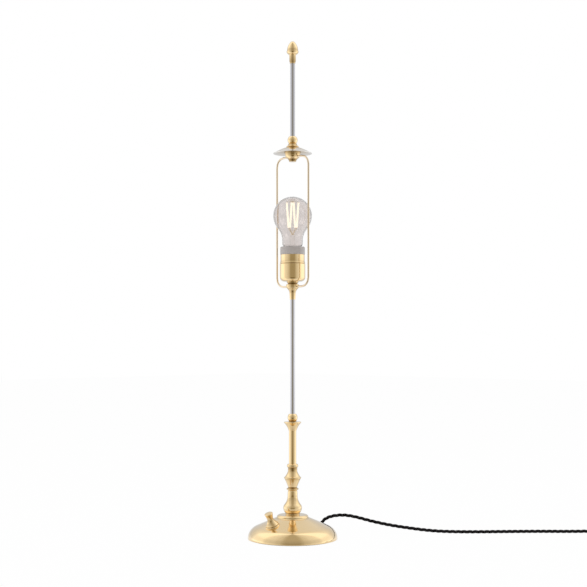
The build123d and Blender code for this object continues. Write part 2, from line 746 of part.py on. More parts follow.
def make_finial():
    """The acorn with its stud, and the cup that it stands in."""
    cup_top = FINIAL_FOOT + FINIAL_CUP_H
    stud_r = ROD_BORE / 2 - SEAT
    bore = stud_r + SEAT
    foot_top = FINIAL_FOOT + FINIAL_FOOT_H
    save("finial_cup", lathe([
        (bore, FINIAL_FOOT),
        (FINIAL_FOOT_D / 2, FINIAL_FOOT),
        (FINIAL_FOOT_D / 2, foot_top),
        (FINIAL_CUP_D / 2, foot_top + FINIAL_FOOT_EDGE),
        (FINIAL_CUP_D / 2, cup_top - FINIAL_LIP_H),
        (FINIAL_LIP_D / 2, cup_top),
        (bore, cup_top),
    ]))
    lip_z = cup_top + ACORN_FOOT_H
    side_z = lip_z + ACORN_LIP_H
    top = cup_top + ACORN_H
    tip_r = ACORN_TIP_D / 2
    save("finial_acorn", lathe([
        (0, FINIAL_FOOT - STUD_L),
        (stud_r, FINIAL_FOOT - STUD_L),
        (stud_r, cup_top),
        (ACORN_FOOT_D / 2, cup_top),
        (ACORN_D / 2, lip_z, ACORN_FOOT_BOW),
        (ACORN_D / 2, side_z),
        (ACORN_SIDE_D / 2, side_z + ACORN_SIDE_H),
        (tip_r, top - ACORN_TIP_H, ACORN_BOW),
        (0, top, crown_bow(tip_r, ACORN_TIP_H)),
    ]))


# Lampholder and bulb


def make_holder():
    """The brass lampholder with its porcelain insert and ring."""
    cap_r = HOLDER_D / 2
    inner_r = cap_r - HOLDER_WALL
    flat_r = CAP_FLAT_D / 2
    cap_top = HUB_TOP + CAP_H
    dome_top = HUB_TOP + CAP_DOME_H
    outside = lathe([
        (0, HUB_TOP),
        (flat_r, HUB_TOP),
        (cap_r, dome_top, CAP_DOME_BOW),
        (cap_r, cap_top - CAP_EDGE),
        (cap_r - CAP_EDGE, cap_top, round_bow(CAP_EDGE)),
        (0, cap_top),
    ])
    inside = lathe([
        (0, HUB_TOP + HOLDER_WALL),
        (flat_r, HUB_TOP + HOLDER_WALL),
        (inner_r, dome_top, CAP_DOME_BOW),
        (inner_r, cap_top + PAST),
        (0, cap_top + PAST),
    ])
    save("holder_cap", outside - inside - rod(NIPPLE_D + 2 * SEAT, HUB_TOP - PAST, cap_top))
    save("holder_nipple", tube(NIPPLE_D, NIPPLE_BORE, HUB_TOP - NIPPLE_SUNK, CORE_FOOT))
    nut_foot = HUB_TOP + HOLDER_WALL
    save("holder_nut", hex_nut(HOLDER_NUT_AF, NIPPLE_D + 2 * SEAT, nut_foot, HOLDER_NUT_H))

    shell_r = inner_r - SEAT
    bore_r = shell_r - HOLDER_WALL
    core = rod(CORE_D, CORE_FOOT, CORE_TOP) + rod(2 * shell_r, CORE_TOP - CORE_FLANGE_H, CORE_TOP)
    core -= rod(NIPPLE_BORE, CORE_FOOT - PAST, CORE_FOOT + LEADS_IN_CORE)
    save("porcelain_core", core)
    save("holder_shell", tube(2 * shell_r, 2 * bore_r, CORE_TOP, HOLDER_TOP))
    screw_d = SCREW_SHELL_D + 2 * SCREW_SHELL_WALL
    save("screw_shell", tube(screw_d, SCREW_SHELL_D, CORE_TOP, CORE_TOP + SCREW_SHELL_H))
    save("centre_contact", lathe([
        (0, CORE_TOP),
        (CONTACT_D / 2, CORE_TOP),
        (CONTACT_D / 2, CORE_TOP + CONTACT_FOOT_H),
        (CONTACT_SHOULDER_D / 2, CORE_TOP + CONTACT_SHOULDER_H),
        (CONTACT_TIP_D / 2, CORE_TOP + CONTACT_H, CONTACT_BOW),
        (0, CORE_TOP + CONTACT_H),
    ]))
    skirt_r = SKIRT_D / 2
    skirt_bore = SKIRT_BORE / 2
    skirt_top = HOLDER_TOP + SKIRT_H
    save("porcelain_skirt", lathe([
        (skirt_bore, HOLDER_TOP - SKIRT_SPIGOT_H),
        (bore_r - SEAT, HOLDER_TOP - SKIRT_SPIGOT_H),
        (bore_r - SEAT, HOLDER_TOP),
        (skirt_r - SKIRT_EDGE, HOLDER_TOP),
        (skirt_r, HOLDER_TOP + SKIRT_EDGE),
        (skirt_r, skirt_top - SKIRT_ROUND),
        (skirt_r - SKIRT_ROUND, skirt_top, round_bow(SKIRT_ROUND)),
        (skirt_bore + SKIRT_BORE_ROUND, skirt_top),
        (skirt_bore, skirt_top - SKIRT_BORE_ROUND, round_bow(SKIRT_BORE_ROUND)),
    ]))


def glass_outline(inset, foot):
    """The bulb's outline from the foot of its neck to its crown, moved inwards by a wall."""
    crown_r = GLASS_D / 2 - inset
    root_r = BULB_CAP_D / 2 - BULB_CAP_WALL - FREE - inset
    middle = BULB_FOOT + BULB_L - GLASS_D / 2
    join = radians(GLASS_JOIN)
    neck_foot = BULB_FOOT + TIP_H + INSULATOR_H + BULB_CAP_H + FREE
    shoulder = neck_foot + GLASS_SHOULDER_H
    return [
        (0, foot),
        (root_r, foot),
        (root_r, neck_foot),
        (GLASS_SHOULDER_D / 2 - inset, shoulder, GLASS_SHOULDER_BOW),
        (GLASS_NECK_D / 2 - inset, shoulder + GLASS_NECK_H),
        (crown_r * cos(join), middle - crown_r * sin(join), -GLASS_SWEEP_BOW),
        (0, middle + crown_r, crown_r * (1 - cos((pi / 2 + join) / 2))),
    ]


def make_bulb():
    """A clear bulb: screw cap, glass, stem, and four bright sticks on their wires."""
    tip_top = BULB_FOOT + TIP_H
    cap_foot = tip_top + INSULATOR_H
    cap_top = cap_foot + BULB_CAP_H
    cap_r = BULB_CAP_D / 2
    foot_r = cap_r - BULB_CAP_EDGE
    save("cap_contact", rod(TIP_D, BULB_FOOT, tip_top))
    save("cap_insulator", lathe([
        (0, tip_top),
        (INSULATOR_D / 2, tip_top),
        (foot_r, cap_foot, -INSULATOR_BOW),
        (0, cap_foot),
    ]))
    ledge = cap_top - NECK_IN_CAP
    flange_foot = ledge - FLANGE_T
    inner_r = cap_r - BULB_CAP_WALL
    save("bulb_cap", lathe([
        (inner_r - LEDGE_W, cap_foot),
        (foot_r, cap_foot),
        (cap_r, cap_foot + BULB_CAP_EDGE, round_bow(BULB_CAP_EDGE)),
        (cap_r, cap_top),
        (inner_r, cap_top),
        (inner_r, flange_foot),
        (inner_r - LEDGE_W, flange_foot),
    ]))
    save("bulb_glass", lathe(glass_outline(0, ledge)) - lathe(glass_outline(GLASS_WALL, ledge - PAST)))

    stem_top = ledge + STEM_H
    flare_top = ledge + STEM_FLARE_H
    wires_z = stem_top + SUPPORT_D
    post_top = wires_z + FILAMENT_L - SUPPORT_D
    flange_r = inner_r - FREE
    save("bulb_stem", lathe([
        (0, flange_foot),
        (flange_r, flange_foot),
        (flange_r, ledge),
        (flange_r - GLASS_WALL - FREE, ledge),
        (STEM_FLARE_D / 2, flare_top, -STEM_FLARE_BOW),
        (STEM_D / 2, flare_top + STEM_SIDE_H),
        (STEM_TIP_D / 2, stem_top),
        (POST_D / 2, stem_top),
        (POST_D / 2, post_top),
        (0, post_top),
    ]))
    make_filaments(stem_top, post_top)


def filament_arm(end, inner, star_z):
    """A wire from its star to one end of a stick, and the tab it holds the stick by."""
    start = Vector(end.X, end.Y, 0).normalized() * POST_D + Vector(0, 0, star_z)
    return wire([start, end], None, SUPPORT_D) + wire([end, inner], None, FILAMENT_D)


def make_filaments(stem_top, post_top):
    """Four bright sticks, each between two tabs, on a star of wires below and one above."""
    lower = tube(STEM_TIP_D, POST_D + 2 * SEAT, stem_top, stem_top + 2 * SUPPORT_D)
    upper = rod(UPPER_STAR_D, post_top, post_top + 2 * SUPPORT_D)
    sticks = []
    for side in (-1, 1):
        for foot, top in (
            ((FILAMENT_FOOT_X, -FILAMENT_FOOT_Y), (FILAMENT_TOP_X, 0)),
            ((FILAMENT_INNER_FOOT_X, -FILAMENT_FOOT_Y), (FILAMENT_INNER_TOP_X, -FILAMENT_INNER_TOP_Y)),
        ):
            low = Vector(side * foot[0], foot[1], stem_top + SUPPORT_D + LEAD_RISE)
            high = Vector(side * top[0], top[1], post_top + SUPPORT_D)
            tab = (high - low).normalized() * FILAMENT_TAB_L
            sticks.append(wire([low + tab, high - tab], None, FILAMENT_D))
            lower += filament_arm(low, low + tab, low.Z - LEAD_RISE)
            upper += filament_arm(high, high - tab, high.Z)
    turn = Rot(0, 0, FILAMENT_TURN)
    save("bulb_filaments", turn * Compound(sticks))
    save("filament_frame", turn * Compound([lower.solid(), upper.solid()]))


# Cord


def corner_radii(points):
    """The largest even arc at each inner point of a route: 0.45 of the shorter run fits each side."""
    radii = []
    for before, corner, after in zip(points, points[1:], points[2:]):
        run_in, run_out = corner - before, after - corner
        half_turn = radians(run_in.get_angle(run_out)) / 2
        radii.append(0.45 * min(run_in.length, run_out.length) / tan(half_turn))
    return radii


def biarc(start, heading, end, end_heading):
    """Two arcs that meet smoothly, from one point and heading to another."""
    across = end - start
    both = heading + end_heading
    spare = 2 * (1 - heading.dot(end_heading))
    reach = (sqrt(across.dot(both) ** 2 + spare * across.dot(across)) - across.dot(both)) / spare
    near, far = start + heading * reach, end - end_heading * reach
    middle = (near + far) / 2
    return [TangentArc(start, middle, tangent=heading), TangentArc(middle, end, tangent=far - near)]


def make_bushing():
    """The flanged bush in the foot, whose floor stops the cord and lets two leads through."""
    bush = lathe([
        (0, -BUSHING_DEPTH),
        (BUSHING_SLEEVE_D / 2, -BUSHING_DEPTH),
        (BUSHING_SLEEVE_D / 2, -BUSHING_SPOT),
        (BUSHING_D / 2, -BUSHING_SPOT),
        (BUSHING_D / 2, BUSHING_T - BUSHING_SPOT),
        (CORD_D / 2 + BUSHING_LIP, BUSHING_T, BUSHING_LIP_BOW),
        (0, BUSHING_T),
    ])
    bush -= rod(CORD_D + 2 * FREE, BUSHING_FLOOR - BUSHING_DEPTH, BUSHING_T + PAST)
    lead_hole = rod(LEAD_D, -BUSHING_DEPTH - PAST, 0)
    offset = (LEAD_D + LEAD_GAP) / 2
    bush -= Pos(offset, 0, 0) * lead_hole
    bush -= Pos(-offset, 0, 0) * lead_hole
    save("cord_bushing", exit_plane * bush)


def make_cord():
    """The cord's free run from the bush along the table; returns its last two points."""
    inner_end = exit_point - exit_dir * (BUSHING_DEPTH - BUSHING_FLOOR)
    points = [inner_end, exit_point + exit_dir * EXIT_RUN] + [Vector(point) for point in CORD_ROUTE]
    radii = corner_radii(points)
    path = FilletPolyline(*points, radius=radii)
    run = sweep(Plane(inner_end, z_dir=exit_dir) * Circle(CORD_D / 2), path=path)
    print("cord radii", [round(radius, 1) for radius in radii])
    report_tube("cord run", run, path)
    save("cord_run", run)
    return points[-2], points[-1]


def report_tube(name, solid, path):
    """Print a cord tube's length, and its volume beside its section times its length."""
    ratio = solid.volume / (pi * CORD_D**2 / 4 * path.length)
    print(name, round(path.length, 1), "volume ratio", round(ratio, 4))


def make_coil(before, start):
    """The put-away coil at the end of the run, its tie, and the plug beside it."""
    heading = (start - before).normalized()
    right = Vector(heading.Y, -heading.X, 0)
    coil_start = start + heading * CORD_D
    centre = coil_start + right * COIL_R

    def spot(turns):
        inward = min(turns, COIL_TURNS - turns)
        climb = min(max(turns - COIL_TURNS / 2 + 0.25, 0) * 2, 1)
        angle = 2 * pi * turns
        out = heading * sin(angle) - right * cos(angle)
        lift = COIL_PITCH * climb**2 * (3 - 2 * climb)
        return centre + out * (COIL_R - COIL_PITCH * inward) + Vector(0, 0, lift)

    quarters = round(4 * COIL_TURNS)
    spots = [spot(quarter / 4) for quarter in range(quarters + 1)]
    nudge = 0.001
    ways = [(spot(q / 4 + nudge) - spot(q / 4 - nudge)).normalized() for q in range(1, quarters)]
    ways = [heading] + ways + [heading]
    tail_end = spots[-1] + heading * COIL_TAIL
    edges = [Line(start, coil_start)]
    for index in range(quarters):
        edges += biarc(spots[index], ways[index], spots[index + 1], ways[index + 1])
    edges.append(Line(spots[-1], tail_end))
    path = Wire(edges)
    coil = sweep(Plane(start, z_dir=heading) * Circle(CORD_D / 2), path=path)
    report_tube("coil", coil, path)
    report_gap(path)
    save("cord_coil", coil)

    inner_r = COIL_R - COIL_PITCH * COIL_TURNS / 2 - CORD_D / 2 - FREE
    outer_r = COIL_R - COIL_PITCH / 2 + CORD_D / 2 + FREE
    band_top = tail_end.Z + CORD_D / 2
    band_w, band_h = outer_r - inner_r, band_top - TIE_BAND_T
    band_mid = centre + right * (inner_r + outer_r) / 2
    band_plane = Plane((band_mid.X, band_mid.Y, TIE_BAND_T + band_h / 2), x_dir=right, z_dir=heading)
    ring = RectangleRounded(band_w + 2 * TIE_BAND_T, band_h + 2 * TIE_BAND_T, CORD_D / 2)
    ring -= RectangleRounded(band_w, band_h, CORD_D / 2 - TIE_BAND_T)
    save("cord_tie", band_plane * extrude(ring, TIE_BAND_W / 2, both=True))
    make_plug(Plane(tail_end, x_dir=right, z_dir=heading), 2 * tail_end.Z)


def report_gap(path):
    """Print the least gap between the coil's turns."""
    steps = 600
    samples = [path.position_at(step / steps) for step in range(steps + 1)]
    apart = round(3 * CORD_D / (path.length / steps))
    gap = min(
        (samples[i] - samples[j]).length
        for i in range(len(samples))
        for j in range(i + apart, len(samples))
    )
    print("coil's least gap", round(gap - CORD_D, 2))


def make_plug(plug_plane, height):
    """A moulded plug with two round pins, standing on the table on its side."""
    shoulder = PLUG_GRIP_L + PLUG_SHOULDER_L
    sections = [
        (0, PLUG_NECK, PLUG_NECK),
        (PLUG_GRIP_L, PLUG_GRIP, PLUG_GRIP),
        (shoulder, PLUG_W, height),
        (PLUG_L, PLUG_W, height),
    ]
    body = loft(
        [Pos(0, 0, z) * RectangleRounded(w, h, PLUG_CORNER * min(w, h)) for z, w, h in sections],
        ruled=True,
    )
    save("plug_body", plug_plane * body)
    pin_r = PIN_D / 2
    pin = Pos(0, 0, PLUG_L) * lathe([
        (0, 0),
        (pin_r, 0),
        (pin_r, PIN_L - pin_r),
        (0, PIN_L, crown_bow(pin_r, pin_r)),
    ])
    pins = [Pos(side * PIN_SPACING / 2, 0, 0) * pin for side in (-1, 1)]
    save("plug_pins", plug_plane * Compound(pins))


tie_foot = make_foot()
make_switch()
make_stem(make_column(tie_foot))
make_loop()
make_top()
make_finial()
make_holder()
make_bulb()
make_bushing()
make_coil(*make_cord())
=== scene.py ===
# %% [markdown]
# # A slim brass table lamp
#
# The lamp is a stack of turned brass pieces on a weighted foot, with a bright steel stem, a loop of brass
# wire round a clear bulb, and a twisted textile cord. The CAD model holds every piece at its real size.
# Blender could show those pieces as they are, but a CAD mesh is made of flat triangles, and polished metal
# shows every one of them. So each piece that can be seen is worked out again here as a smooth surface, and
# takes its size and place from its CAD piece.

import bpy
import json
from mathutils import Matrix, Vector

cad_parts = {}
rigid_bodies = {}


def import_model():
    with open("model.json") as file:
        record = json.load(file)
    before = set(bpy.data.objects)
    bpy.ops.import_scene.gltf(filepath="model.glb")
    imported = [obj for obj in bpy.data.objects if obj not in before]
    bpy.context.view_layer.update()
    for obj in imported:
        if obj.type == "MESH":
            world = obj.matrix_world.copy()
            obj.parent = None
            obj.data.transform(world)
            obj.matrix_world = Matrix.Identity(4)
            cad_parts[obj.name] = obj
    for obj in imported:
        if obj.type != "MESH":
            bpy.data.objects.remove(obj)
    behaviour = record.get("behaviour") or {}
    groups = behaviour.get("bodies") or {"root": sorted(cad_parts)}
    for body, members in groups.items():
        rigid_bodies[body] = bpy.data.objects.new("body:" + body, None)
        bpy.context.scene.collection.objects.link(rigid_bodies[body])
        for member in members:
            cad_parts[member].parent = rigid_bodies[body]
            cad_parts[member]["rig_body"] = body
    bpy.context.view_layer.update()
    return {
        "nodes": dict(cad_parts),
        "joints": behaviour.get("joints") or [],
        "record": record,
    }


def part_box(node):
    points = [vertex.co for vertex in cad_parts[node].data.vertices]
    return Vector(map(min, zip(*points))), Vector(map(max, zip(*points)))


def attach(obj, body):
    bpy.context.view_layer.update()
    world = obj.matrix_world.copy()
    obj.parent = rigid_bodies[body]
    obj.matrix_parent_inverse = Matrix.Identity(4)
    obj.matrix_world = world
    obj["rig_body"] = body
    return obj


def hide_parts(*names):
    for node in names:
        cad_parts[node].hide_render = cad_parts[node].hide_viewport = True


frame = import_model()

import json
from math import atan, ceil, copysign, cos, hypot, pi, radians, sin, sqrt

import bmesh
import bpy
import numpy as np
from mathutils import Vector

MM = 0.001
scene = bpy.context.scene
scene.view_settings.view_transform = "Standard"
slot_of = {part["node"]: part["material_slot"] for part in frame["record"]["subparts"]}

# %% [markdown]
# ## Camera
#
# The photograph is taken from a little below the middle of the lamp, with the switch turned to the left
# front. A camera could be set by eye, but it is surer to measure: the picture's scale at the lamp's axis
# gives the lens, and how far the foot's ellipse opens gives the camera's height and distance.

# %% Camera
IMAGE_PIXELS = 587
SENSOR = 36.0
PIXEL_AT_AXIS = 1.555 * MM
CAMERA_TURN = radians(43.5)
CAMERA_AWAY = 1.962
CAMERA_HEIGHT = 0.310
AIM_HEIGHT = 0.382
AIM_RIGHT = 0.0014

to_camera = Vector((sin(CAMERA_TURN), -cos(CAMERA_TURN), 0))
to_right = Vector((cos(CAMERA_TURN), sin(CAMERA_TURN), 0))
up = Vector((0, 0, 1))
camera = bpy.data.objects.new("camera", bpy.data.cameras.new("camera"))
scene.collection.objects.link(camera)
scene.camera = camera
camera.location = to_camera * CAMERA_AWAY + up * CAMERA_HEIGHT
camera.rotation_euler = (pi / 2, 0, CAMERA_TURN)
camera.data.sensor_width = SENSOR
frame_at_axis = PIXEL_AT_AXIS * IMAGE_PIXELS
camera.data.lens = SENSOR * CAMERA_AWAY / frame_at_axis
camera.data.shift_x = AIM_RIGHT / frame_at_axis
camera.data.shift_y = (AIM_HEIGHT - CAMERA_HEIGHT) / frame_at_axis
print("lens", round(camera.data.lens, 2), "mm")

# %% [markdown]
# ## Studio
#
# Polished metal has hardly any look of its own: it shows the room. In the photograph the room is a
# white tent with a darker opening on the camera's side, which is what draws the brown stripe down the
# middle of each turned piece. The room could be built from card and lamps, but one ramp of tones can hold it
# with less: dim at the opening, bright at the two sides and pale behind. The world and the floor share that
# ramp, and only reflections show it: the camera, and what looks through the glass, sees plain white. A little
# above the horizon the tent's wall is a fifth darker, which deepens the slopes of the foot and the beads.
# Three soft lamps light the rest and draw the shadow.


# %% Node helpers
def place(tree, kind, plain=(), **settings):
    """A new shader node, with its settings, and plain values on the inputs that nothing is linked to."""
    node = tree.nodes.new("ShaderNode" + kind)
    for name, value in settings.items():
        setattr(node, name, value)
    for name, value in dict(plain).items():
        node.inputs[name].default_value = value
    return node


def join(tree, *pairs):
    """Links given as (node, output, node, input)."""
    for start, output, end, entry in pairs:
        tree.links.new(start.outputs[output], end.inputs[entry])


def node_group(name, entries, exits):
    """An empty shader group with sockets given as label: kind, and its input and output nodes."""
    group = bpy.data.node_groups.new(name, "ShaderNodeTree")
    for in_out, sockets in (("INPUT", entries), ("OUTPUT", exits)):
        for label, kind in sockets.items():
            group.interface.new_socket(label, in_out=in_out, socket_type="NodeSocket" + kind)
    return group, group.nodes.new("NodeGroupInput"), group.nodes.new("NodeGroupOutput")


def new_finish(slot, plain):
    """A material with one Principled shader; what is the same all over goes straight onto its sockets."""
    material = bpy.data.materials.new(slot)
    material.use_nodes = True
    shader = material.node_tree.nodes["Principled BSDF"]
    for label, value in plain.items():
        shader.inputs[label].default_value = value
    return material, material.node_tree, shader


def colour_mix(tree, plain=(), **settings):
    """A node that goes from the colour on input 6 to the one on input 7, by the value on input 0."""
    return place(tree, "Mix", plain, data_type="RGBA", **settings)


def two_tones(tree, source, output, light, dark):
    """A colour between two tones, by a value from 0 to 1."""
    tone = colour_mix(tree, {6: light, 7: dark})
    join(tree, (source, output, tone, 0))
    return tone


def eased(tree, low, high, start=0.0, end=1.0):
    """A value that goes softly from start to end while input 0 goes from low to high."""
    levels = {1: low, 2: high, 3: start, 4: end}
    return place(tree, "MapRange", levels, interpolation_type="SMOOTHSTEP")


def tone_ramp(node, stops):
    """Sets a colour ramp to tones at places from 0 to 1, with soft steps between them."""
    ramp = node.color_ramp
    ramp.interpolation = "EASE"
    while len(ramp.elements) < len(stops):
        ramp.elements.new(1.0)
    for stop, (position, tone) in zip(ramp.elements, stops.items()):
        stop.position = position
        stop.color = (*tone, 1)


def seen_rays(tree):
    """Two masks: rays that see the background at all, and those of them that a shiny surface reflects.

    A ray through glass counts as glossy too, so the second mask is glossy less transmission.
    """
    path = place(tree, "LightPath")
    mirrored = place(tree, "Math", operation="MAXIMUM")
    seen = place(tree, "Math", operation="MAXIMUM")
    reflected = place(tree, "Math", operation="SUBTRACT", use_clamp=True)
    join(
        tree,
        (path, "Is Glossy Ray", mirrored, 0),
        (path, "Is Transmission Ray", mirrored, 1),
        (path, "Is Camera Ray", seen, 0),
        (mirrored, 0, seen, 1),
        (path, "Is Glossy Ray", reflected, 0),
        (path, "Is Transmission Ray", reflected, 1),
    )
    return seen, reflected


# %% Tent
# Degrees round from the camera's side, and the tent's tone there
TENT_TONES = {
    0: (0.66, 0.64, 0.59), 36: (0.69, 0.67, 0.62), 55: (0.88, 0.88, 0.88), 72: (1.0, 1.0, 1.0),
    88: (1.42, 1.42, 1.42), 118: (1.42, 1.42, 1.42), 136: (0.95, 0.95, 0.95), 155: (0.80, 0.80, 0.80),
    180: (0.78, 0.78, 0.78),
}
OPENING = (0.39, 0.345, 0.245, 1)
OPENING_EDGES = (36, 13)

tent_tone, entry, leave = node_group(
    "tent_tone", {"Vector": "Vector", "Opening": "Color"}, {"Color": "Color"},
)
level = place(tent_tone, "VectorMath", {1: (1, 1, 0)}, operation="MULTIPLY")
heading = place(tent_tone, "VectorMath", operation="NORMALIZE")
facing = place(tent_tone, "VectorMath", {1: to_camera}, operation="DOT_PRODUCT")
round_it = place(tent_tone, "MapRange", {1: 1.0, 2: -1.0})
dim = eased(tent_tone, *(cos(radians(edge)) for edge in OPENING_EDGES))
opened = colour_mix(tent_tone)
tones = place(tent_tone, "ValToRGB")
tone_ramp(tones, {0.5 - 0.5 * cos(radians(turn)): tone for turn, tone in TENT_TONES.items()})
join(
    tent_tone,
    (entry, "Vector", level, 0),
    (level, 0, heading, 0),
    (heading, 0, facing, 0),
    (facing, "Value", round_it, 0),
    (round_it, 0, tones, 0),
    (facing, "Value", dim, 0),
    (dim, 0, opened, 0),
    (tones, 0, opened, 6),
    (entry, "Opening", opened, 7),
    (opened, 2, leave, "Color"),
)
print("tent tones:", len(tones.color_ramp.elements))

# %% Room
WHITE = (1, 1, 1, 1)
ROOM_LIGHT = 0.55
CEILING_TONE = (0.80, 0.80, 0.80, 1)
CEILING_RISE = 0.3
CEILING_SHARE = 0.25
# Share of the wall's light by the sine of the height above the horizon
WALL_DIMMING = {0.0: 1.0, 0.04: 0.96, 0.13: 0.78, 0.35: 0.80, 0.6: 1.0}

world = bpy.data.worlds.new("studio")
scene.world = world
world.use_nodes = True
room = world.node_tree
room.nodes.clear()
seen, reflected = seen_rays(room)
direction = place(room, "TexCoord")
height = place(room, "SeparateXYZ")
rise = eased(room, 0.0, CEILING_RISE, end=CEILING_SHARE)
dimming = place(room, "ValToRGB")
tone_ramp(dimming, {sine: (tone, tone, tone) for sine, tone in WALL_DIMMING.items()})
tent = place(room, "Group", {"Opening": OPENING}, node_tree=tent_tone)
wall = colour_mix(room, {0: 1.0}, blend_type="MULTIPLY")
ceiling = colour_mix(room, {7: CEILING_TONE})
in_metal = colour_mix(room, {6: WHITE})
shown = place(room, "Background", {"Strength": 1.0})
lit = place(room, "Background", {"Color": WHITE, "Strength": ROOM_LIGHT})
either = place(room, "MixShader")
out = place(room, "OutputWorld")
join(
    room,
    (direction, "Generated", tent, "Vector"),
    (direction, "Generated", height, 0),
    (height, 2, rise, 0),
    (rise, 0, ceiling, 0),
    (height, 2, dimming, 0),
    (tent, "Color", wall, 6),
    (dimming, 0, wall, 7),
    (wall, 2, ceiling, 6),
    (reflected, 0, in_metal, 0),
    (ceiling, 2, in_metal, 7),
    (in_metal, 2, shown, "Color"),
    (seen, 0, either, 0),
    (lit, 0, either, 1),
    (shown, 0, either, 2),
    (either, 0, out, "Surface"),
)
print("room nodes:", len(room.nodes))

# %% Floor
FLOOR_REACH = 7.0
FLOOR_COLOUR = (0.9, 0.9, 0.9, 1)
FLOOR_GLOW = 0.98
FLOOR_TONE = (0.85, 0.85, 0.85, 1)
# Metres from the lamp's axis, and how much of the tent the floor shows there
TENT_NEAR = (0.08, 0.20)
TENT_FAR = (0.45, 1.0)
TENT_BELOW = (0.88, 0.88, 0.88, 1)
OPENING_NEAR = (0.19, 0.14, 0.05, 1)
OPENING_REACH = (0.8, 1.7)

corners = np.array([(-1, -1, 0), (1, -1, 0), (1, 1, 0), (-1, 1, 0)]) * FLOOR_REACH
floor_mesh = bpy.data.meshes.new("floor")
floor_mesh.from_pydata(corners.tolist(), [], [(0, 1, 2, 3)])
floor = bpy.data.objects.new("floor", floor_mesh)
scene.collection.objects.link(floor)
paper, tree, matt = new_finish(
    "floor_paper", {"Base Color": FLOOR_COLOUR, "Roughness": 1.0, "Specular IOR Level": 0.0},
)
seen, reflected = seen_rays(tree)
share = place(tree, "Math", {1: FLOOR_GLOW}, operation="MULTIPLY")
spot = place(tree, "TexCoord")
tent = place(tree, "Group", node_tree=tent_tone)
distance = place(tree, "VectorMath", operation="LENGTH")
away = eased(tree, TENT_NEAR[0], TENT_FAR[0], TENT_NEAR[1], TENT_FAR[1])
onward = place(tree, "MapRange", {1: OPENING_REACH[0], 2: OPENING_REACH[1]})
opening = two_tones(tree, onward, 0, OPENING_NEAR, OPENING)
below = colour_mix(tree, {0: 1.0, 7: TENT_BELOW}, blend_type="MULTIPLY")
paper_tone = colour_mix(tree, {6: FLOOR_TONE})
in_metal = colour_mix(tree, {6: WHITE})
glow = place(tree, "Emission", {"Strength": 1.0})
either = place(tree, "MixShader")
join(
    tree,
    (spot, "Object", tent, "Vector"),
    (spot, "Object", distance, 0),
    (distance, "Value", away, 0),
    (distance, "Value", onward, 0),
    (opening, 2, tent, "Opening"),
    (tent, "Color", below, 6),
    (away, 0, paper_tone, 0),
    (below, 2, paper_tone, 7),
    (reflected, 0, in_metal, 0),
    (paper_tone, 2, in_metal, 7),
    (in_metal, 2, glow, "Color"),
    (seen, 0, share, 0),
    (share, 0, either, 0),
    (matt, 0, either, 1),
    (glow, 0, either, 2),
    (either, 0, tree.nodes["Material Output"], "Surface"),
)
floor_mesh.materials.append(paper)
print("floor", 2 * FLOOR_REACH, "m wide")

# %% Soft lamps
LAMP_SIZE = 1.3
# Turn from the camera and height in degrees, distance in metres, and watts
LAMPS = {
    "lamp_left": (-68, 28, 2.1, 11.0),
    "lamp_right": (72, 30, 2.1, 11.0),
    "lamp_top": (180, 72, 2.2, 6.0),
}

for name, (turn, rise, away, watts) in LAMPS.items():
    light = bpy.data.lights.new(name, "AREA")
    light.size = LAMP_SIZE
    light.energy = watts
    lamp = bpy.data.objects.new(name, light)
    lamp.visible_glossy = False
    scene.collection.objects.link(lamp)
    turn, rise = CAMERA_TURN + radians(turn), radians(rise)
    lamp.location = Vector((sin(turn) * cos(rise), -cos(turn) * cos(rise), sin(rise))) * away
    lamp.location += up * AIM_HEIGHT
    lamp.rotation_euler = (up * AIM_HEIGHT - lamp.location).to_track_quat("-Z", "Y").to_euler()
print("soft lamps:", len(LAMPS))

# %% [markdown]
# ## Marks that several finishes share
#
# Every polished piece has been rubbed with a cloth and touched since, so its gloss changes a little from
# place to place, and a lathe or a drawing die leaves fine lines in it. Each metal could have its own nodes
# for this. One node group with a few inputs does it for all of them. A second group gives the grain of
# moulded and cast surfaces.


# %% Polish marks and grain
polish_marks, entry, leave = node_group(
    "polish_marks",
    {"Vector": "Vector", "Bright": "Float", "Rubbed": "Float", "Lines": "Vector"},
    {"Roughness": "Float", "Height": "Float"},
)
smudge = place(polish_marks, "TexNoise", {"Scale": 42.0, "Detail": 4.0, "Roughness": 0.62})
gloss = place(polish_marks, "MapRange", {1: 0.34, 2: 0.72})
drawn = place(polish_marks, "VectorMath", operation="MULTIPLY")
lines = place(polish_marks, "TexNoise", {"Scale": 1.0, "Detail": 2.0})
join(
    polish_marks,
    (entry, "Vector", smudge, "Vector"),
    (smudge, 0, gloss, 0),
    (entry, "Bright", gloss, 3),
    (entry, "Rubbed", gloss, 4),
    (gloss, 0, leave, "Roughness"),
    (entry, "Vector", drawn, 0),
    (entry, "Lines", drawn, 1),
    (drawn, 0, lines, "Vector"),
    (lines, 0, leave, "Height"),
)

moulded_grain, entry, leave = node_group(
    "moulded_grain", {"Vector": "Vector", "Scale": "Float"}, {"Tone": "Float", "Height": "Float"},
)
cloud = place(moulded_grain, "TexNoise", {"Scale": 55.0, "Detail": 3.0})
pits = place(moulded_grain, "TexNoise", {"Detail": 3.0, "Roughness": 0.7})
join(
    moulded_grain,
    (entry, "Vector", cloud, "Vector"),
    (entry, "Vector", pits, "Vector"),
    (entry, "Scale", pits, "Scale"),
    (cloud, 0, leave, "Tone"),
    (pits, 0, leave, "Height"),
)
print("node groups:", polish_marks.name, moulded_grain.name)

# %% [markdown]
# ## Metals
#
# The brass is lacquered and bright, warm yellow. In the grooves it is darker: partly tarnish where the
# polishing cloth doesn't reach, partly painted shade. That shade could be found by ambient occlusion, but
# that doesn't survive export, so each turned piece carries a tarnish and shade value worked out from its
# outline.
# The loop is drawn brass wire, which is paler and has no lacquer. The rods are bright steel tube.


# %% Metals
LACQUER_ROUGHNESS = 0.04
ROUND_LINES = (60, 60, 2600)
DRAWN_LINES = (2600, 2600, 40)
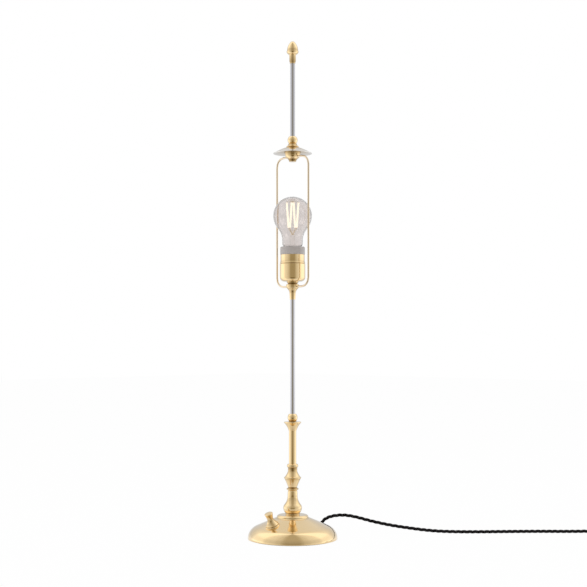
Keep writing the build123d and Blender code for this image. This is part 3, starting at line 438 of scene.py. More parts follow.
# Light and dark tone, tone in grooves (tarnish and painted shade), roughness where bright and where rubbed,
# lines, their depth, lacquer
METALS = {
    "polished_brass": (
        (0.945, 0.725, 0.405, 1), (0.90, 0.66, 0.335, 1), (0.34, 0.20, 0.045, 1),
        0.07, 0.14, ROUND_LINES, 0.006, 1.0,
    ),
    "drawn_brass": (
        (0.86, 0.72, 0.54, 1), (0.79, 0.65, 0.47, 1), (0.40, 0.25, 0.12, 1), 0.16, 0.26, DRAWN_LINES, 0.004,
    ),
    "bright_steel": (
        (0.625, 0.625, 0.66, 1), (0.56, 0.56, 0.595, 1), (0.2, 0.2, 0.2, 1), 0.11, 0.18, DRAWN_LINES, 0.002,
    ),
    "zinc_steel": (
        (0.58, 0.60, 0.62, 1), (0.48, 0.50, 0.53, 1), (0.2, 0.2, 0.2, 1), 0.22, 0.42, ROUND_LINES, 0.15,
    ),
    "nickel_contact": (
        (0.82, 0.74, 0.60, 1), (0.74, 0.64, 0.49, 1), (0.25, 0.2, 0.15, 1), 0.12, 0.28, ROUND_LINES, 0.08,
    ),
    # On the shade disc its groove tone also paints the reflection of the brass round it
    "bright_aluminium": (
        (0.95, 0.935, 0.915, 1), (0.90, 0.885, 0.865, 1), (0.55, 0.37, 0.12, 1),
        0.05, 0.11, ROUND_LINES, 0.003,
    ),
}


def metal_finish(slot, light, dark, tarnish_and_shade_tone, bright, rubbed, lines, bump, lacquer=0.0):
    """A polished metal: patchy tone, grooves darker by tarnish and painted shade, uneven gloss, fine lines in
    its height, and lacquer.
    """
    plain = {"Metallic": 1.0, "Coat Weight": lacquer, "Coat Roughness": LACQUER_ROUGHNESS}
    material, tree, shader = new_finish(slot, plain)
    spot = place(tree, "TexCoord")
    patch = place(tree, "TexNoise", {"Scale": 30.0, "Detail": 3.0})
    tone = two_tones(tree, patch, 0, light, dark)
    # Grooves go towards the groove tone: tarnish, and painted shade where ambient occlusion would fall
    tarnish_and_shade = place(tree, "Attribute", attribute_name="tarnish_and_shade")
    tarnished_and_shaded = colour_mix(tree, {7: tarnish_and_shade_tone})
    wear = {"Bright": bright, "Rubbed": rubbed, "Lines": lines}
    marks = place(tree, "Group", wear, node_tree=polish_marks)
    relief = place(tree, "Bump", {"Strength": bump, "Distance": 0.0002})
    join(
        tree,
        (spot, "Object", patch, "Vector"),
        (spot, "Object", marks, "Vector"),
        (tarnish_and_shade, "Fac", tarnished_and_shaded, 0),
        (tone, 2, tarnished_and_shaded, 6),
        (tarnished_and_shaded, 2, shader, "Base Color"),
        (marks, "Roughness", shader, "Roughness"),
        (marks, "Height", relief, "Height"),
        (relief, 0, shader, "Normal"),
    )
    return material


finishes = {slot: metal_finish(slot, *look) for slot, look in METALS.items()}
print("metals:", ", ".join(finishes))

# %% [markdown]
# ## Porcelain, plastics, felt, glass and light
#
# The lampholder's ring is glazed porcelain: a matt body under a clear glaze, so it gets a coat. The plastics
# and the felt are the same grain at other scales. The glass has a slight wave, as blown glass has, a faint
# grey tint, and painted shade at its edges where it turns away. The bright sticks in the bulb shine with
# their own warm light.


# %% Dull finishes
# Light and dark tone, plain values, scale of the grain and its depth
GRAINED = {
    "glazed_porcelain": (
        (0.50, 0.455, 0.43, 1), (0.44, 0.40, 0.38, 1),
        {"Roughness": 0.45, "Coat Weight": 0.7, "Coat Roughness": 0.08}, 300.0, 0.06,
    ),
    "cast_weight": ((0.09, 0.088, 0.085, 1), (0.05, 0.048, 0.046, 1), {"Roughness": 0.75}, 700.0, 0.6),
    "black_felt": (
        (0.022, 0.021, 0.021, 1), (0.010, 0.010, 0.010, 1),
        {"Roughness": 0.95, "Sheen Weight": 0.35, "Sheen Roughness": 0.5}, 1600.0, 1.0,
    ),
    "black_plastic": (
        (0.016, 0.016, 0.017, 1), (0.010, 0.010, 0.011, 1), {"Roughness": 0.38}, 1800.0, 0.25,
    ),
    "lead_insulation": ((0.20, 0.12, 0.07, 1), (0.15, 0.09, 0.05, 1), {"Roughness": 0.5}, 900.0, 0.1),
}


def grained_finish(slot, light, dark, plain, scale, bump):
    """A moulded, cast or felted surface: two tones in clouds, and grain in its height."""
    material, tree, shader = new_finish(slot, plain)
    spot = place(tree, "TexCoord")
    grain = place(tree, "Group", {"Scale": scale}, node_tree=moulded_grain)
    tone = two_tones(tree, grain, "Tone", light, dark)
    relief = place(tree, "Bump", {"Strength": bump, "Distance": 0.0003})
    join(
        tree,
        (spot, "Object", grain, "Vector"),
        (tone, 2, shader, "Base Color"),
        (grain, "Height", relief, "Height"),
        (relief, 0, shader, "Normal"),
    )
    return material


for slot, look in GRAINED.items():
    finishes[slot] = grained_finish(slot, *look)
print("dull finishes:", ", ".join(GRAINED))

# %% Glass and light
GLASS_TINT = (0.80, 0.765, 0.75, 1)
CLEAR_TINT = (0.985, 0.975, 0.965, 1)
# Painted shade on the glass: where its surface turns away from view, its tint goes towards this dark tone
GLASS_EDGE_SHADE = (0.40, 0.41, 0.41, 1)
EDGE_SHADE_FACING = (0.48, 0.96)
GLOW_STRENGTH = 1.15

glass, tree, shader = new_finish("clear_glass", {"Roughness": 0.0, "IOR": 1.47, "Transmission Weight": 1.0})
spot = place(tree, "TexCoord")
wave = place(tree, "TexNoise", {"Scale": 28.0, "Detail": 1.0})
relief = place(tree, "Bump", {"Strength": 0.01, "Distance": 0.001})
slant = place(tree, "LayerWeight", {"Blend": 0.5})
painted_edge_shade = eased(tree, *EDGE_SHADE_FACING)
clear = place(tree, "Attribute", attribute_name="clear")
body_tint = two_tones(tree, clear, "Fac", GLASS_TINT, CLEAR_TINT)
tint_and_edge_shade = colour_mix(tree, {7: GLASS_EDGE_SHADE})
join(
    tree,
    (spot, "Object", wave, "Vector"),
    (wave, 0, relief, "Height"),
    (relief, 0, shader, "Normal"),
    (slant, "Facing", painted_edge_shade, 0),
    (painted_edge_shade, 0, tint_and_edge_shade, 0),
    (body_tint, 2, tint_and_edge_shade, 6),
    (tint_and_edge_shade, 2, shader, "Base Color"),
)
finishes["clear_glass"] = glass

sticks, tree, shader = new_finish(
    "filament_glow",
    {"Base Color": (0.50, 0.42, 0.25, 1), "Roughness": 0.6, "Emission Strength": GLOW_STRENGTH},
)
spot = place(tree, "TexCoord")
flicker = place(tree, "TexNoise", {"Scale": 160.0, "Detail": 1.0})
tone = two_tones(tree, flicker, 0, (1.0, 0.97, 0.85, 1), (1.0, 0.93, 0.79, 1))
join(tree, (spot, "Object", flicker, "Vector"), (tone, 2, shader, "Emission Color"))
finishes["filament_glow"] = sticks
print("finishes so far:", len(finishes))

# %% [markdown]
# ## Textile braid
#
# Each strand of the cord is a wire in a braided black sleeve. A braid is two sets of yarns that wind in
# opposite directions. Modelling each yarn would take millions of faces, so the braid is in the material: the
# product of two slanted waves on the strand's own map, one wound each way, gives the small diamonds.

# %% Textile braid
BRAID_REPEAT = 2.4 * MM
BRAID_YARNS = 4

braid, tree, shader = new_finish(
    "cord_textile", {"Roughness": 0.9, "Sheen Weight": 0.04, "Specular IOR Level": 0.15},
)
strand_map = place(tree, "UVMap", uv_map="UVMap")
parts = place(tree, "SeparateXYZ")
along = place(tree, "Math", {1: 2 * pi / BRAID_REPEAT}, operation="MULTIPLY")
round_it = place(tree, "Math", {1: 2 * pi * BRAID_YARNS}, operation="MULTIPLY")
crossing = place(tree, "Math", operation="MULTIPLY")
for number, wound in enumerate(("ADD", "SUBTRACT")):
    slanted = place(tree, "Math", operation=wound)
    wave = place(tree, "Math", operation="SINE")
    join(tree, (along, 0, slanted, 0), (round_it, 0, slanted, 1))
    join(tree, (slanted, 0, wave, 0), (wave, 0, crossing, number))
yarn = place(tree, "MapRange", {1: -1.0, 2: 1.0})
tone = two_tones(tree, yarn, 0, (0.0025, 0.002, 0.0022, 1), (0.012, 0.009, 0.0095, 1))
relief = place(tree, "Bump", {"Strength": 0.8, "Distance": 0.0003})
join(
    tree,
    (strand_map, 0, parts, 0),
    (parts, 0, along, 0),
    (parts, 1, round_it, 0),
    (crossing, 0, yarn, 0),
    (tone, 2, shader, "Base Color"),
    (yarn, 0, relief, "Height"),
    (relief, 0, shader, "Normal"),
)
finishes["cord_textile"] = braid
print("finishes:", len(finishes), "for slots:", len(set(slot_of.values())))

# %% [markdown]
# ## Surfaces on a grid
#
# Everything below is one idea: a surface is a grid of points, and each point comes from two numbers, how far
# along and how far round. A turned piece takes an outline once round an axis. A wire takes a ring along a
# path. Blender's Screw and curve bevel could do the same, but as arrays the whole grid is worked out at once
# and its corners can be rounded where light needs an edge to catch on.


# %% Meshes from grids
SAME_SPOT = 1e-7
NO_LENGTH = 1e-8


def put_mesh(name, grids, along=None, close_rows=False, tarnish_and_shade=None):
    """Quads on grids of points, closed round their columns: (i, j), (i, j+1), (i+1, j+1), (i+1, j).

    Rows that shrink to one point are merged, so poles and caps are closed.
    """
    corners, maps, first = [], [], 0
    for grid in grids:
        rows, columns = grid.shape[:2]
        row = np.arange(rows if close_rows else rows - 1)[:, None]
        column = np.arange(columns)[None, :]
        ahead, beside = (row + 1) % rows, (column + 1) % columns
        quad = [row * columns + column, row * columns + beside]
        quad += [ahead * columns + beside, ahead * columns + column]
        corners.append(first + np.stack(quad, axis=-1).reshape(-1, 4))
        first += rows * columns
        if along is not None:
            u = np.stack([along[spot] + 0.0 * column for spot in (row, row, ahead, ahead)], axis=-1)
            v = np.stack([column + step + 0.0 * row for step in (0, 1, 1, 0)], axis=-1) / columns
            maps.append(np.stack((u, v), axis=-1).reshape(-1, 2))
    mesh = bpy.data.meshes.new(name)
    points = np.concatenate([grid.reshape(-1, 3) for grid in grids])
    mesh.from_pydata(points.tolist(), [], np.concatenate(corners).tolist())
    if maps:
        mesh.uv_layers.new(name="UVMap").data.foreach_set("uv", np.concatenate(maps).ravel())
    # A value per point that darkens grooves: tarnish and painted shade
    if tarnish_and_shade is not None:
        mesh.attributes.new("tarnish_and_shade", "FLOAT", "POINT").data.foreach_set("value", tarnish_and_shade)
    work = bmesh.new()
    work.from_mesh(mesh)
    bmesh.ops.remove_doubles(work, verts=work.verts, dist=SAME_SPOT)
    bmesh.ops.dissolve_degenerate(work, edges=work.edges, dist=NO_LENGTH)
    work.to_mesh(mesh)
    work.free()
    mesh.shade_smooth()
    piece = bpy.data.objects.new(name, mesh)
    scene.collection.objects.link(piece)
    return piece


def spots_of(mesh):
    """A mesh's points as rows of x, y and z."""
    spots = np.empty(3 * len(mesh.vertices))
    mesh.vertices.foreach_get("co", spots)
    return spots.reshape(-1, 3)


def fit(piece, *nodes, finish=None):
    """The piece stands for its CAD pieces: same body, and their slot's finish or a variant of it."""
    slot = slot_of[nodes[0]]
    piece.data.materials.append(finishes[finish or slot])
    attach(piece, frame["nodes"][nodes[0]]["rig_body"])
    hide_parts(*nodes)
    return piece


def unit(vectors):
    """Each row divided by its length."""
    return vectors / np.linalg.norm(vectors, axis=-1, keepdims=True)


def ring(radius, count):
    """A circle: (radius cos a, radius sin a)."""
    angle = np.linspace(0, 2 * pi, count, endpoint=False)
    return radius * np.column_stack((np.cos(angle), np.sin(angle)))


def carried(path, normal, side, profile, caps=True):
    """A profile carried along a path: path + profile x * normal + profile y * side, ends closed."""
    grid = path[:, None] + profile[None, :, :1] * normal[:, None] + profile[None, :, 1:] * side[:, None]
    if not caps:
        return grid
    first, last = (np.broadcast_to(path[end], (1,) + grid.shape[1:]) for end in (0, -1))
    return np.concatenate((first, grid, last))


# %% Outlines with rounded corners
SUPPORT = 0.12
LEAST_BOW = 1e-3
ARC_STEP = radians(5)
ARC_POINTS = 5
SMOOTH_TURN = 0.98
CORNER_SHARE = 0.3
SAME_PLACE = 1e-6
HOLLOW_REACH = 2.2
FINE_REACH = 0.5


def way_along(points):
    """How far along a line each of its points lies: the lengths of the steps up to it, added up."""
    return np.concatenate(([0], np.cumsum(np.linalg.norm(np.diff(points, axis=0), axis=1))))


def points_at(marks, way, points):
    """The points of a line at given distances along it."""
    return np.column_stack([np.interp(marks, way, column) for column in points.T])


def stretch(start, end, bow):
    """A straight run, or an arc that stands off its chord by the bow, to the right of the way it runs.

    On the arc: chord middle + along * R sin a + right * R (cos a - cos half), for a from -half to half.
    """
    if abs(bow) < LEAST_BOW:
        return np.array([start, end])
    chord = end - start
    length = hypot(*chord)
    along = chord / length
    right = np.array((along[1], -along[0]))
    half = 2 * atan(2 * abs(bow) / length)
    radius = length / 2 / sin(half)
    angle = np.linspace(-half, half, max(ARC_POINTS, ceil(2 * half / ARC_STEP) + 1))[:, None]
    rise = copysign(radius, bow) * (np.cos(angle) - cos(half))
    return (start + end) / 2 + along * radius * np.sin(angle) + right * rise


def shortened(run, cut_start, cut_end):
    """A run less a little at each end, with one more point close to both ends to keep its shading flat."""
    way = way_along(run)
    first, last = cut_start, way[-1] - cut_end
    near = min(SUPPORT, (last - first) / 4)
    kept = way[(way > first + near) & (way < last - near)]
    marks = np.concatenate(([first, first + near], kept, [last - near, last]))
    return points_at(marks, way, run)


def rounded(outline, edge, closed):
    """An outline of (radius, height, bow) with each corner replaced by a small curve.

    The curve is (1-t)^2 a + 2t(1-t) corner + t^2 b between points an edge's width back on either side.
    """
    points = [np.array(point[:2], float) for point in outline]
    bows = [point[2] if len(point) > 2 else 0.0 for point in outline]
    runs = [stretch(points[i - 1], points[i], bows[i]) for i in range(0 if closed else 1, len(points))]
    lengths = [way_along(run)[-1] for run in runs]
    cuts = []
    for index, run in enumerate(runs):
        onward = runs[(index + 1) % len(runs)]
        turn = unit(run[-1] - run[-2]) @ unit(onward[1] - onward[0])
        room_here = CORNER_SHARE * min(lengths[index], lengths[(index + 1) % len(runs)])
        last = not closed and index == len(runs) - 1
        cuts.append(0.0 if last or turn > SMOOTH_TURN else min(edge, room_here))
    bodies = [shortened(run, cuts[i - 1], cuts[i]) for i, run in enumerate(runs)]
    curve = []
    t = np.array((0.25, 0.5, 0.75))[:, None]
    for index, body in enumerate(bodies):
        curve.append(body)
        if cuts[index]:
            onward = bodies[(index + 1) % len(bodies)][0]
            corner = runs[index][-1]
            curve.append((1 - t) ** 2 * body[-1] + 2 * t * (1 - t) * corner + t**2 * onward)
    curve = np.concatenate(curve)
    fresh = np.hypot(*(curve - np.roll(curve, 1, axis=0)).T) > SAME_PLACE
    fresh[0] |= not closed
    return curve[fresh]


def hollow_of(curve, closed, reach):
    """How deep in a groove each point lies: inward turns nearby, times exp(-(distance / reach)^2)."""
    ahead, behind = np.roll(curve, -1, axis=0) - curve, curve - np.roll(curve, 1, axis=0)
    cross = behind[:, 0] * ahead[:, 1] - behind[:, 1] * ahead[:, 0]
    turn = np.arctan2(cross, (behind * ahead).sum(axis=1))
    if not closed:
        turn[[0, -1]] = 0
    way = np.cumsum(np.hypot(*behind.T))
    near = np.exp(-(((way[:, None] - way[None, :]) / reach) ** 2))
    return np.clip((near * np.maximum(0, -turn)[None, :]).sum(axis=1), 0, 1)


# %% Turned pieces
AROUND = 96
THREAD_STEP = 0.35


def spun(curve, around, origin, axis, thread=None):
    """A curve once round an axis: origin + r cos a * X + r sin a * Y + h * axis.

    A thread (pitch, depth, low, high) draws r in by depth * (1 - cos(2 pi h / pitch - a)) / 2.
    """
    angle = np.linspace(0, 2 * pi, around, endpoint=False)
    radius = curve[:, :1] + 0 * angle
    height = curve[:, 1:]
    if thread:
        pitch, depth, low, high = thread
        runout = np.clip((height - low) / pitch, 0, 1) * np.clip((high - height) / pitch, 0, 1)
        radius = radius - depth * runout * (0.5 - 0.5 * np.cos(2 * pi * height / pitch - angle))
    turned_axes = np.array(Vector(axis).to_track_quat("Z", "Y").to_matrix())
    local = np.stack((radius * np.cos(angle), radius * np.sin(angle), height + 0 * angle), axis=-1)
    return np.array(origin) + local * MM @ turned_axes.T


def turned(node, outline, edge=0.25, around=AROUND, foot=None, axis=up, thread=None, reach=HOLLOW_REACH):
    """A turned piece for a CAD node, from its outline in millimetres up from its foot.

    An upright piece is stretched to its CAD piece's own width and height.
    """
    closed = outline[0][0] > 0
    curve = rounded(outline, edge, closed)
    if thread:
        way = way_along(curve)
        curve = points_at(np.union1d(way, np.arange(0, way[-1], THREAD_STEP)), way, curve)
    # How deep each point lies in a groove, which sets its tarnish and painted shade
    tarnish_and_shade = np.repeat(hollow_of(curve, closed, reach), around)
    if foot is None:
        low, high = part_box(node)
        size = high - low
        curve = curve - (0, curve[:, 1].min())
        curve = curve / curve.max(axis=0) * (max(size.x, size.y) / 2 / MM, size.z / MM)
        foot = (0, 0, low.z)
    grid = spun(curve, around, foot, axis, thread)
    return fit(put_mesh(node + "_turned", [grid], close_rows=closed, tarnish_and_shade=tarnish_and_shade), node)


# %% [markdown]
# ## Cord
#
# Three braided strands, twisted round each other once every 27.5 mm, leave the foot upwards, bend over and
# lie away to the right and back. The rest of the 1.85 m, which the photograph doesn't show, lies as a tied
# coil just outside the picture. A curve with a bevel could be the cord, but it would be one smooth tube. So
# the route is a smooth spline, and three rings are carried along beside it, turning round it as they go.

# %% Cord route
CORD_D = 5.5 * MM
EXIT = Vector((0, 63.645, 15.854)) * MM
EXIT_WAY = Vector((0, 1, 1)).normalized()
INSIDE_BUSH = 6
PAST_BUSH = 8
ROUTE = [
    (3.0, 78.2, 26.4), (9.6, 89.4, 29.0), (19.6, 101.3, 29.4), (32.5, 114.0, 26.2), (49.6, 129.3, 19.8),
    (72.2, 149.1, 13.4), (97.6, 171.7, 8.4), (124.4, 195.8, 4.2), (152.9, 222.3, 2.9), (182.6, 252.1, 2.8),
    (213.6, 286.3, 2.8), (247.2, 320.6, 2.8), (282.5, 351.6, 2.8), (314.3, 377.7, 3.95), (341.9, 402.4, 3.95),
]
COIL_R = 40.5 * MM
COIL_PITCH = 6.1 * MM
COIL_TURNS = 7.0
COIL_POINTS = 16
CLIMB_TURNS = 0.5
TAIL = 37.0 * MM
IN_PLUG = 2.0 * MM

route = [EXIT - EXIT_WAY * INSIDE_BUSH * MM, EXIT + EXIT_WAY * PAST_BUSH * MM]
route += [Vector(point) * MM for point in ROUTE]
heading = (route[-1] - route[-2]).normalized()
aside = Vector((heading.y, -heading.x, 0))
coil_start = route[-1] + heading * CORD_D
coil_centre = coil_start + aside * COIL_R
turns = np.linspace(0, COIL_TURNS, round(COIL_TURNS * COIL_POINTS) + 1)[:, None]
inward = np.minimum(turns, COIL_TURNS - turns)
climb = np.clip((turns - COIL_TURNS / 2) / CLIMB_TURNS + 0.5, 0, 1)
outward = np.array(heading) * np.sin(2 * pi * turns) - np.array(aside) * np.cos(2 * pi * turns)
coil = np.array(coil_centre) + outward * (COIL_R - COIL_PITCH * inward)
coil[:, 2] += COIL_PITCH * (climb**2 * (3 - 2 * climb))[:, 0]
tail_end = Vector(coil[-1]) + heading * TAIL
controls = np.concatenate((
    np.array(route), coil, np.array([tail_end - heading * TAIL / 2, tail_end + heading * IN_PLUG]),
))

line = bpy.data.curves.new("cord_route", "CURVE")
line.dimensions = "3D"
spline = line.splines.new("NURBS")
spline.points.add(len(controls) - 1)
spline.points.foreach_set("co", np.column_stack((controls, np.ones(len(controls)))).ravel())
spline.order_u = 3
spline.use_endpoint_u = True
spline.resolution_u = 12
holder = bpy.data.objects.new("cord_route", line)
scene.collection.objects.link(holder)
route_points = spots_of(bpy.data.meshes.new_from_object(holder))
bpy.data.objects.remove(holder)
way = way_along(route_points)
cord_length = float(way[-1])
print("cord", round(cord_length, 4), "m on", len(controls), "points")

# %% Twisted strands
STRANDS = 3
STRAND_R = CORD_D / 2 / (1 + 2 / sqrt(3))
STRAND_OUT = CORD_D / 2 - STRAND_R
TWIST_LAY = 27.5 * MM
STEPS_PER_LAY = 22
STRAND_SIDES = 10

marks = np.linspace(0, cord_length, round(cord_length / TWIST_LAY * STEPS_PER_LAY))
middle = points_at(marks, way, route_points)
forward = unit(np.gradient(middle, axis=0))
across = unit(np.cross(forward, np.array(up)))
over = np.cross(across, forward)


def strand(start_turn):
    """A ring carried along a helix: middle + out (cos w * across + sin w * over), w one turn a lay."""
    twist = (2 * pi * marks / TWIST_LAY + start_turn)[:, None]
    out = np.cos(twist) * across + np.sin(twist) * over
    onward = np.cos(twist) * over - np.sin(twist) * across
    lean = unit(forward + onward * STRAND_OUT * 2 * pi / TWIST_LAY)
    return carried(middle + out * STRAND_OUT, out, np.cross(lean, out), ring(STRAND_R, STRAND_SIDES))


map_marks = np.concatenate((marks[:1], marks, marks[-1:]))
strands = [strand(2 * pi * number / STRANDS) for number in range(STRANDS)]
cord = fit(put_mesh("cord", strands, along=map_marks), "cord_run", "cord_coil")
print("cord faces", len(cord.data.polygons))

# %% [markdown]
# ## Tie and plug
#
# A flat strap holds the coil, and a moulded two-pin plug ends the cord. The strap is a flat profile carried
# round a rounded rectangle. The plug could be cut from a block, but a moulding has no sharp edge anywhere,
# so its cross-section is one rounded form, |x/w|^n + |y/h|^n = 1, whose width and height change along it.

# %% Coil tie
TIE_T = 0.9
TIE_W = 6.0
TIE_EDGE = 0.2
TIE_CORNER = 2.6

low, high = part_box("cord_tie")
inner_r = COIL_R - COIL_PITCH * COIL_TURNS / 2 - CORD_D / 2
outer_r = COIL_R - COIL_PITCH / 2 + CORD_D / 2
half_w = (outer_r - inner_r) / 2 / MM + TIE_T / 2
half_h = (high.z - low.z) / 2 / MM - TIE_T / 2
band_corners = [(half_w, -half_h), (half_w, half_h), (-half_w, half_h), (-half_w, -half_h)]
band = rounded(band_corners, TIE_CORNER, True) * MM
band_middle = coil_centre + aside * (inner_r + outer_r) / 2
band_middle.z = (low.z + high.z) / 2
band_path = np.array(band_middle) + band[:, :1] * np.array(aside) + band[:, 1:] * np.array(up)
band_way = unit(np.roll(band, -1, axis=0) - np.roll(band, 1, axis=0))
band_out = band_way[:, 1:] * np.array(aside) - band_way[:, :1] * np.array(up)
half_t, half_side = TIE_T / 2, TIE_W / 2
strap_corners = [(-half_t, -half_side), (half_t, -half_side), (half_t, half_side), (-half_t, half_side)]
strap = rounded(strap_corners, TIE_EDGE, True) * MM
strap_side = np.broadcast_to(np.array(heading), band_out.shape)
strap_grid = carried(band_path, band_out, strap_side, strap, caps=False)
tie = fit(put_mesh("cord_tie_strap", [strap_grid], close_rows=True), "cord_tie")
print("tie", round(2 * half_w, 1), "mm by", round(2 * half_h, 1), "mm")

# %% Plug
PLUG_STATIONS = (0.0, 3.0, 13.7, 15.6, 19.0, 20.9, 24.0, 38.0)
PLUG_WIDTHS = (4.75, 4.9, 5.7, 6.6, 11.9, 13.2, 13.5, 13.5)
PLUG_HEIGHTS = (4.75, 4.9, 5.7, 6.2, 9.0, 9.9, 10.05, 10.05)
PLUG_SHAPE = 3.2
PLUG_SIDES = 56
# Rows from, to and how many: in millimetres along the neck and body, in radians round the face's edge
NECK_ROWS = (0.0, 15.6, 72)
BODY_ROWS = (16.0, 36.4, 30)
EDGE_ROWS = (0.1, pi / 2, 8)
FACE_EDGE = 1.2
RIBS_FROM = 1.5
RIBS_TO = 13.0
RIB_DEPTH = 0.55
RIB_PITCH = 2.2

reach = PLUG_STATIONS[-1]
face_rows = reach - FACE_EDGE * np.cos(np.linspace(*EDGE_ROWS))
station = np.concatenate((np.linspace(*NECK_ROWS), np.linspace(*BODY_ROWS), face_rows))
ribbed = np.clip(np.minimum(station - RIBS_FROM, RIBS_TO - station), 0, 1)
ribs = RIB_DEPTH * ribbed * (0.5 + 0.5 * np.cos(2 * pi * station / RIB_PITCH))
on_edge = np.clip(station - reach + FACE_EDGE, 0, FACE_EDGE)
brink = FACE_EDGE - np.sqrt(np.maximum(0, FACE_EDGE**2 - on_edge**2))
angle = np.linspace(0, 2 * pi, PLUG_SIDES, endpoint=False)
shape = (np.abs(np.cos(angle)) ** PLUG_SHAPE + np.abs(np.sin(angle)) ** PLUG_SHAPE) ** (-1 / PLUG_SHAPE)
wide = (np.interp(station, PLUG_STATIONS, PLUG_WIDTHS) - ribs - brink)[:, None] * shape * np.cos(angle)
tall = (np.interp(station, PLUG_STATIONS, PLUG_HEIGHTS) - ribs - brink)[:, None] * shape * np.sin(angle)
wide = np.concatenate((wide[:1] * 0, wide, wide[-1:] * 0))
tall = np.concatenate((tall[:1] * 0, tall, tall[-1:] * 0))
station = np.concatenate((station[:1], station, station[-1:]))[:, None]
local = np.stack((tall, wide, station + 0 * tall), axis=-1) * MM
plug_axes = np.array((up, aside, heading))
plug = fit(put_mesh("plug", [np.array(tail_end) + local @ plug_axes]), "plug_body")
print("plug body", reach, "mm long")

# %% Pins, and the cord as a whole
PIN_R = 2.0
PIN_L = 19.0
PIN_ROOT = 1.0
PIN_EDGE = 0.2
PIN_SPACING = 19.0
PIN_SIDES = 32

pin = rounded([
    (0, -PIN_ROOT), (PIN_R, -PIN_ROOT), (PIN_R, PIN_L - PIN_R), (0, PIN_L, PIN_R * (1 - sqrt(0.5))),
], PIN_EDGE, False)
pin_feet = [tail_end + heading * reach * MM + aside * side * PIN_SPACING / 2 * MM for side in (-1, 1)]
pins = fit(put_mesh("plug_two_pins", [spun(pin, PIN_SIDES, foot, heading) for foot in pin_feet]), "plug_pins")
print("plug", round(reach + PIN_L, 1), "mm long")

# %% [markdown]
# ## Foot
#
# The foot is a spun brass dome over an iron weight: a round shoulder, a flat cone, a small hollow and a boss
# that carries the column. It stands a millimetre proud of the table on its felt, which leaves a thin dark
# line under its rim. A small turned bush guides the cord out at the back.

# %% Foot
BUSH_DEPTH = 7.0

turned("felt_pad", [(0, 0), (66.5, 0), (66.5, 1.5), (0, 1.5)], edge=0.5, around=128)
turned("base_shell", [
    (67.5, 0, -3.7), (70.0, 0), (56.0, 19.8, 3.7), (28.0, 31.8), (24.6, 33.8, -0.6), (21.0, 37.4, 1.054),
    (4.1, 37.4), (4.1, 34.9), (21.0, 34.9), (27.015, 29.502), (55.015, 17.502),
], edge=0.4, around=160, reach=FINE_REACH)
turned("cord_bushing", [
    (0, 0), (4.3, 0), (4.3, 6.2), (6.0, 6.2), (6.0, 7.8), (3.75, 8.6, 0.2), (3.05, 8.6), (3.05, 1.0),
    (0, 1.0),
], foot=EXIT - EXIT_WAY * BUSH_DEPTH * MM, axis=EXIT_WAY, around=48)

# %% [markdown]
# ## Switch
#
# A rotary switch stands square on the slope of the foot. Its knob is turned like a small bell with a waist
# and a flared head. Its axis is the joint's own axis, read from the record, so the knob turns true.

# %% Switch
WASHER_DEPTH = 0.6
KNOB_RISE = 1.8

joint = next(entry for entry in frame["joints"] if entry["name"] == "switch_turn")
switch_seat, switch_axis = Vector(joint["pos_m"]), Vector(joint["axis"])
turned("switch_washer", [(4.1, 0), (11.5, 0), (11.5, 1.2), (10.6, 2.1, 0.25), (4.1, 2.1)],
       foot=switch_seat - switch_axis * WASHER_DEPTH * MM, axis=switch_axis)
turned("switch_knob", [
    (0, 2.3), (6.66, 2.3), (6.66, 0), (10.2, 0), (10.2, 1.4), (4.8, 9.8, -0.8), (6.6, 18.8, -0.4),
    (6.2, 19.6), (0, 20.4, 0.2),
], foot=switch_seat + switch_axis * KNOB_RISE * MM, axis=switch_axis)
print("switch axis", [round(part, 3) for part in switch_axis])

# %% [markdown]
# ## Column and stem
#
# Seven turned pieces sit on each other, pulled together by a threaded tube inside: a baluster, a bead, a
# bell-shaped knop, a hollow neck with a ring, a plain tube, a cup and a ball. Above them runs the steel rod,
# up to a ferrule and the hub that carries the wire loop.

# %% Column
TURNED_COLUMN = {
    "column_baluster": [
        (4.1, 0), (11.25, 0), (11.25, 2.6), (14.5, 12.0, 1.2), (12.2, 16.5, 0.35), (7.8, 30.1, -1.3),
        (7.5, 36.1), (7.0, 37.6), (4.1, 37.6),
    ],
    "column_bead": [(4.1, 0), (7.0, 0), (8.15, 0.8), (8.15, 3.6, 1.2), (7.0, 4.4), (7.0, 5.2), (4.1, 5.2)],
    "column_knop": [(4.1, 0), (7.0, 0), (12.7, 13.1, -0.2), (12.7, 15.6, 0.65), (11.7, 16.4), (4.1, 16.4)],
    "column_neck": [
        (4.1, 0), (11.7, 0), (7.2, 8.2, -0.4), (7.2, 13.6), (7.8, 14.1), (7.8, 19.1, 0.9), (7.2, 19.6),
        (4.1, 19.6),
    ],
    "column_tube": [(4.1, 0), (5.7, 0), (5.7, 51.8), (4.1, 51.8)],
    "column_cup": [
        (4.1, 0), (6.2, 0), (13.35, 12.1, -1.0), (13.35, 13.2), (12.85, 13.7), (6.15, 13.4), (6.15, 14.5),
        (4.1, 14.5),
    ],
    "column_ball": [(3.85, 0), (5.27, 0), (5.27, 11.5, 2.53), (3.85, 11.5)],
    "lower_rod": [(2.75, 0), (3.75, 0), (3.75, 202.8), (2.75, 202.8)],
    "stem_ferrule": [(3.85, 0), (4.4, 0), (4.9, 9.0), (8.8, 17.2, -1.2), (3.85, 17.2)],
    "lower_hub": [
        (3.85, 0), (8.8, 0), (10.0, 2.0, -0.1), (10.0, 6.2), (7.5, 7.0), (7.5, 7.8), (9.0, 8.6), (9.0, 10.7),
        (3.85, 10.7),
    ],
}
for node, outline in TURNED_COLUMN.items():
    turned(node, outline)
print("column and stem:", len(TURNED_COLUMN), "turned pieces")

# %% [markdown]
# ## Wire loop
#
# Two bent wires run from the lower hub out, up past the bulb and in again under the disc. Each is a ring
# carried along a path of straight runs and quarter bends. The ends run on into the hubs.

# %% Wire loop
WIRE_R = 1.5 * MM
WIRE_SIDES = 24
BEND = 14.0 * MM
BEND_BOW = BEND * (1 - sqrt(0.5))


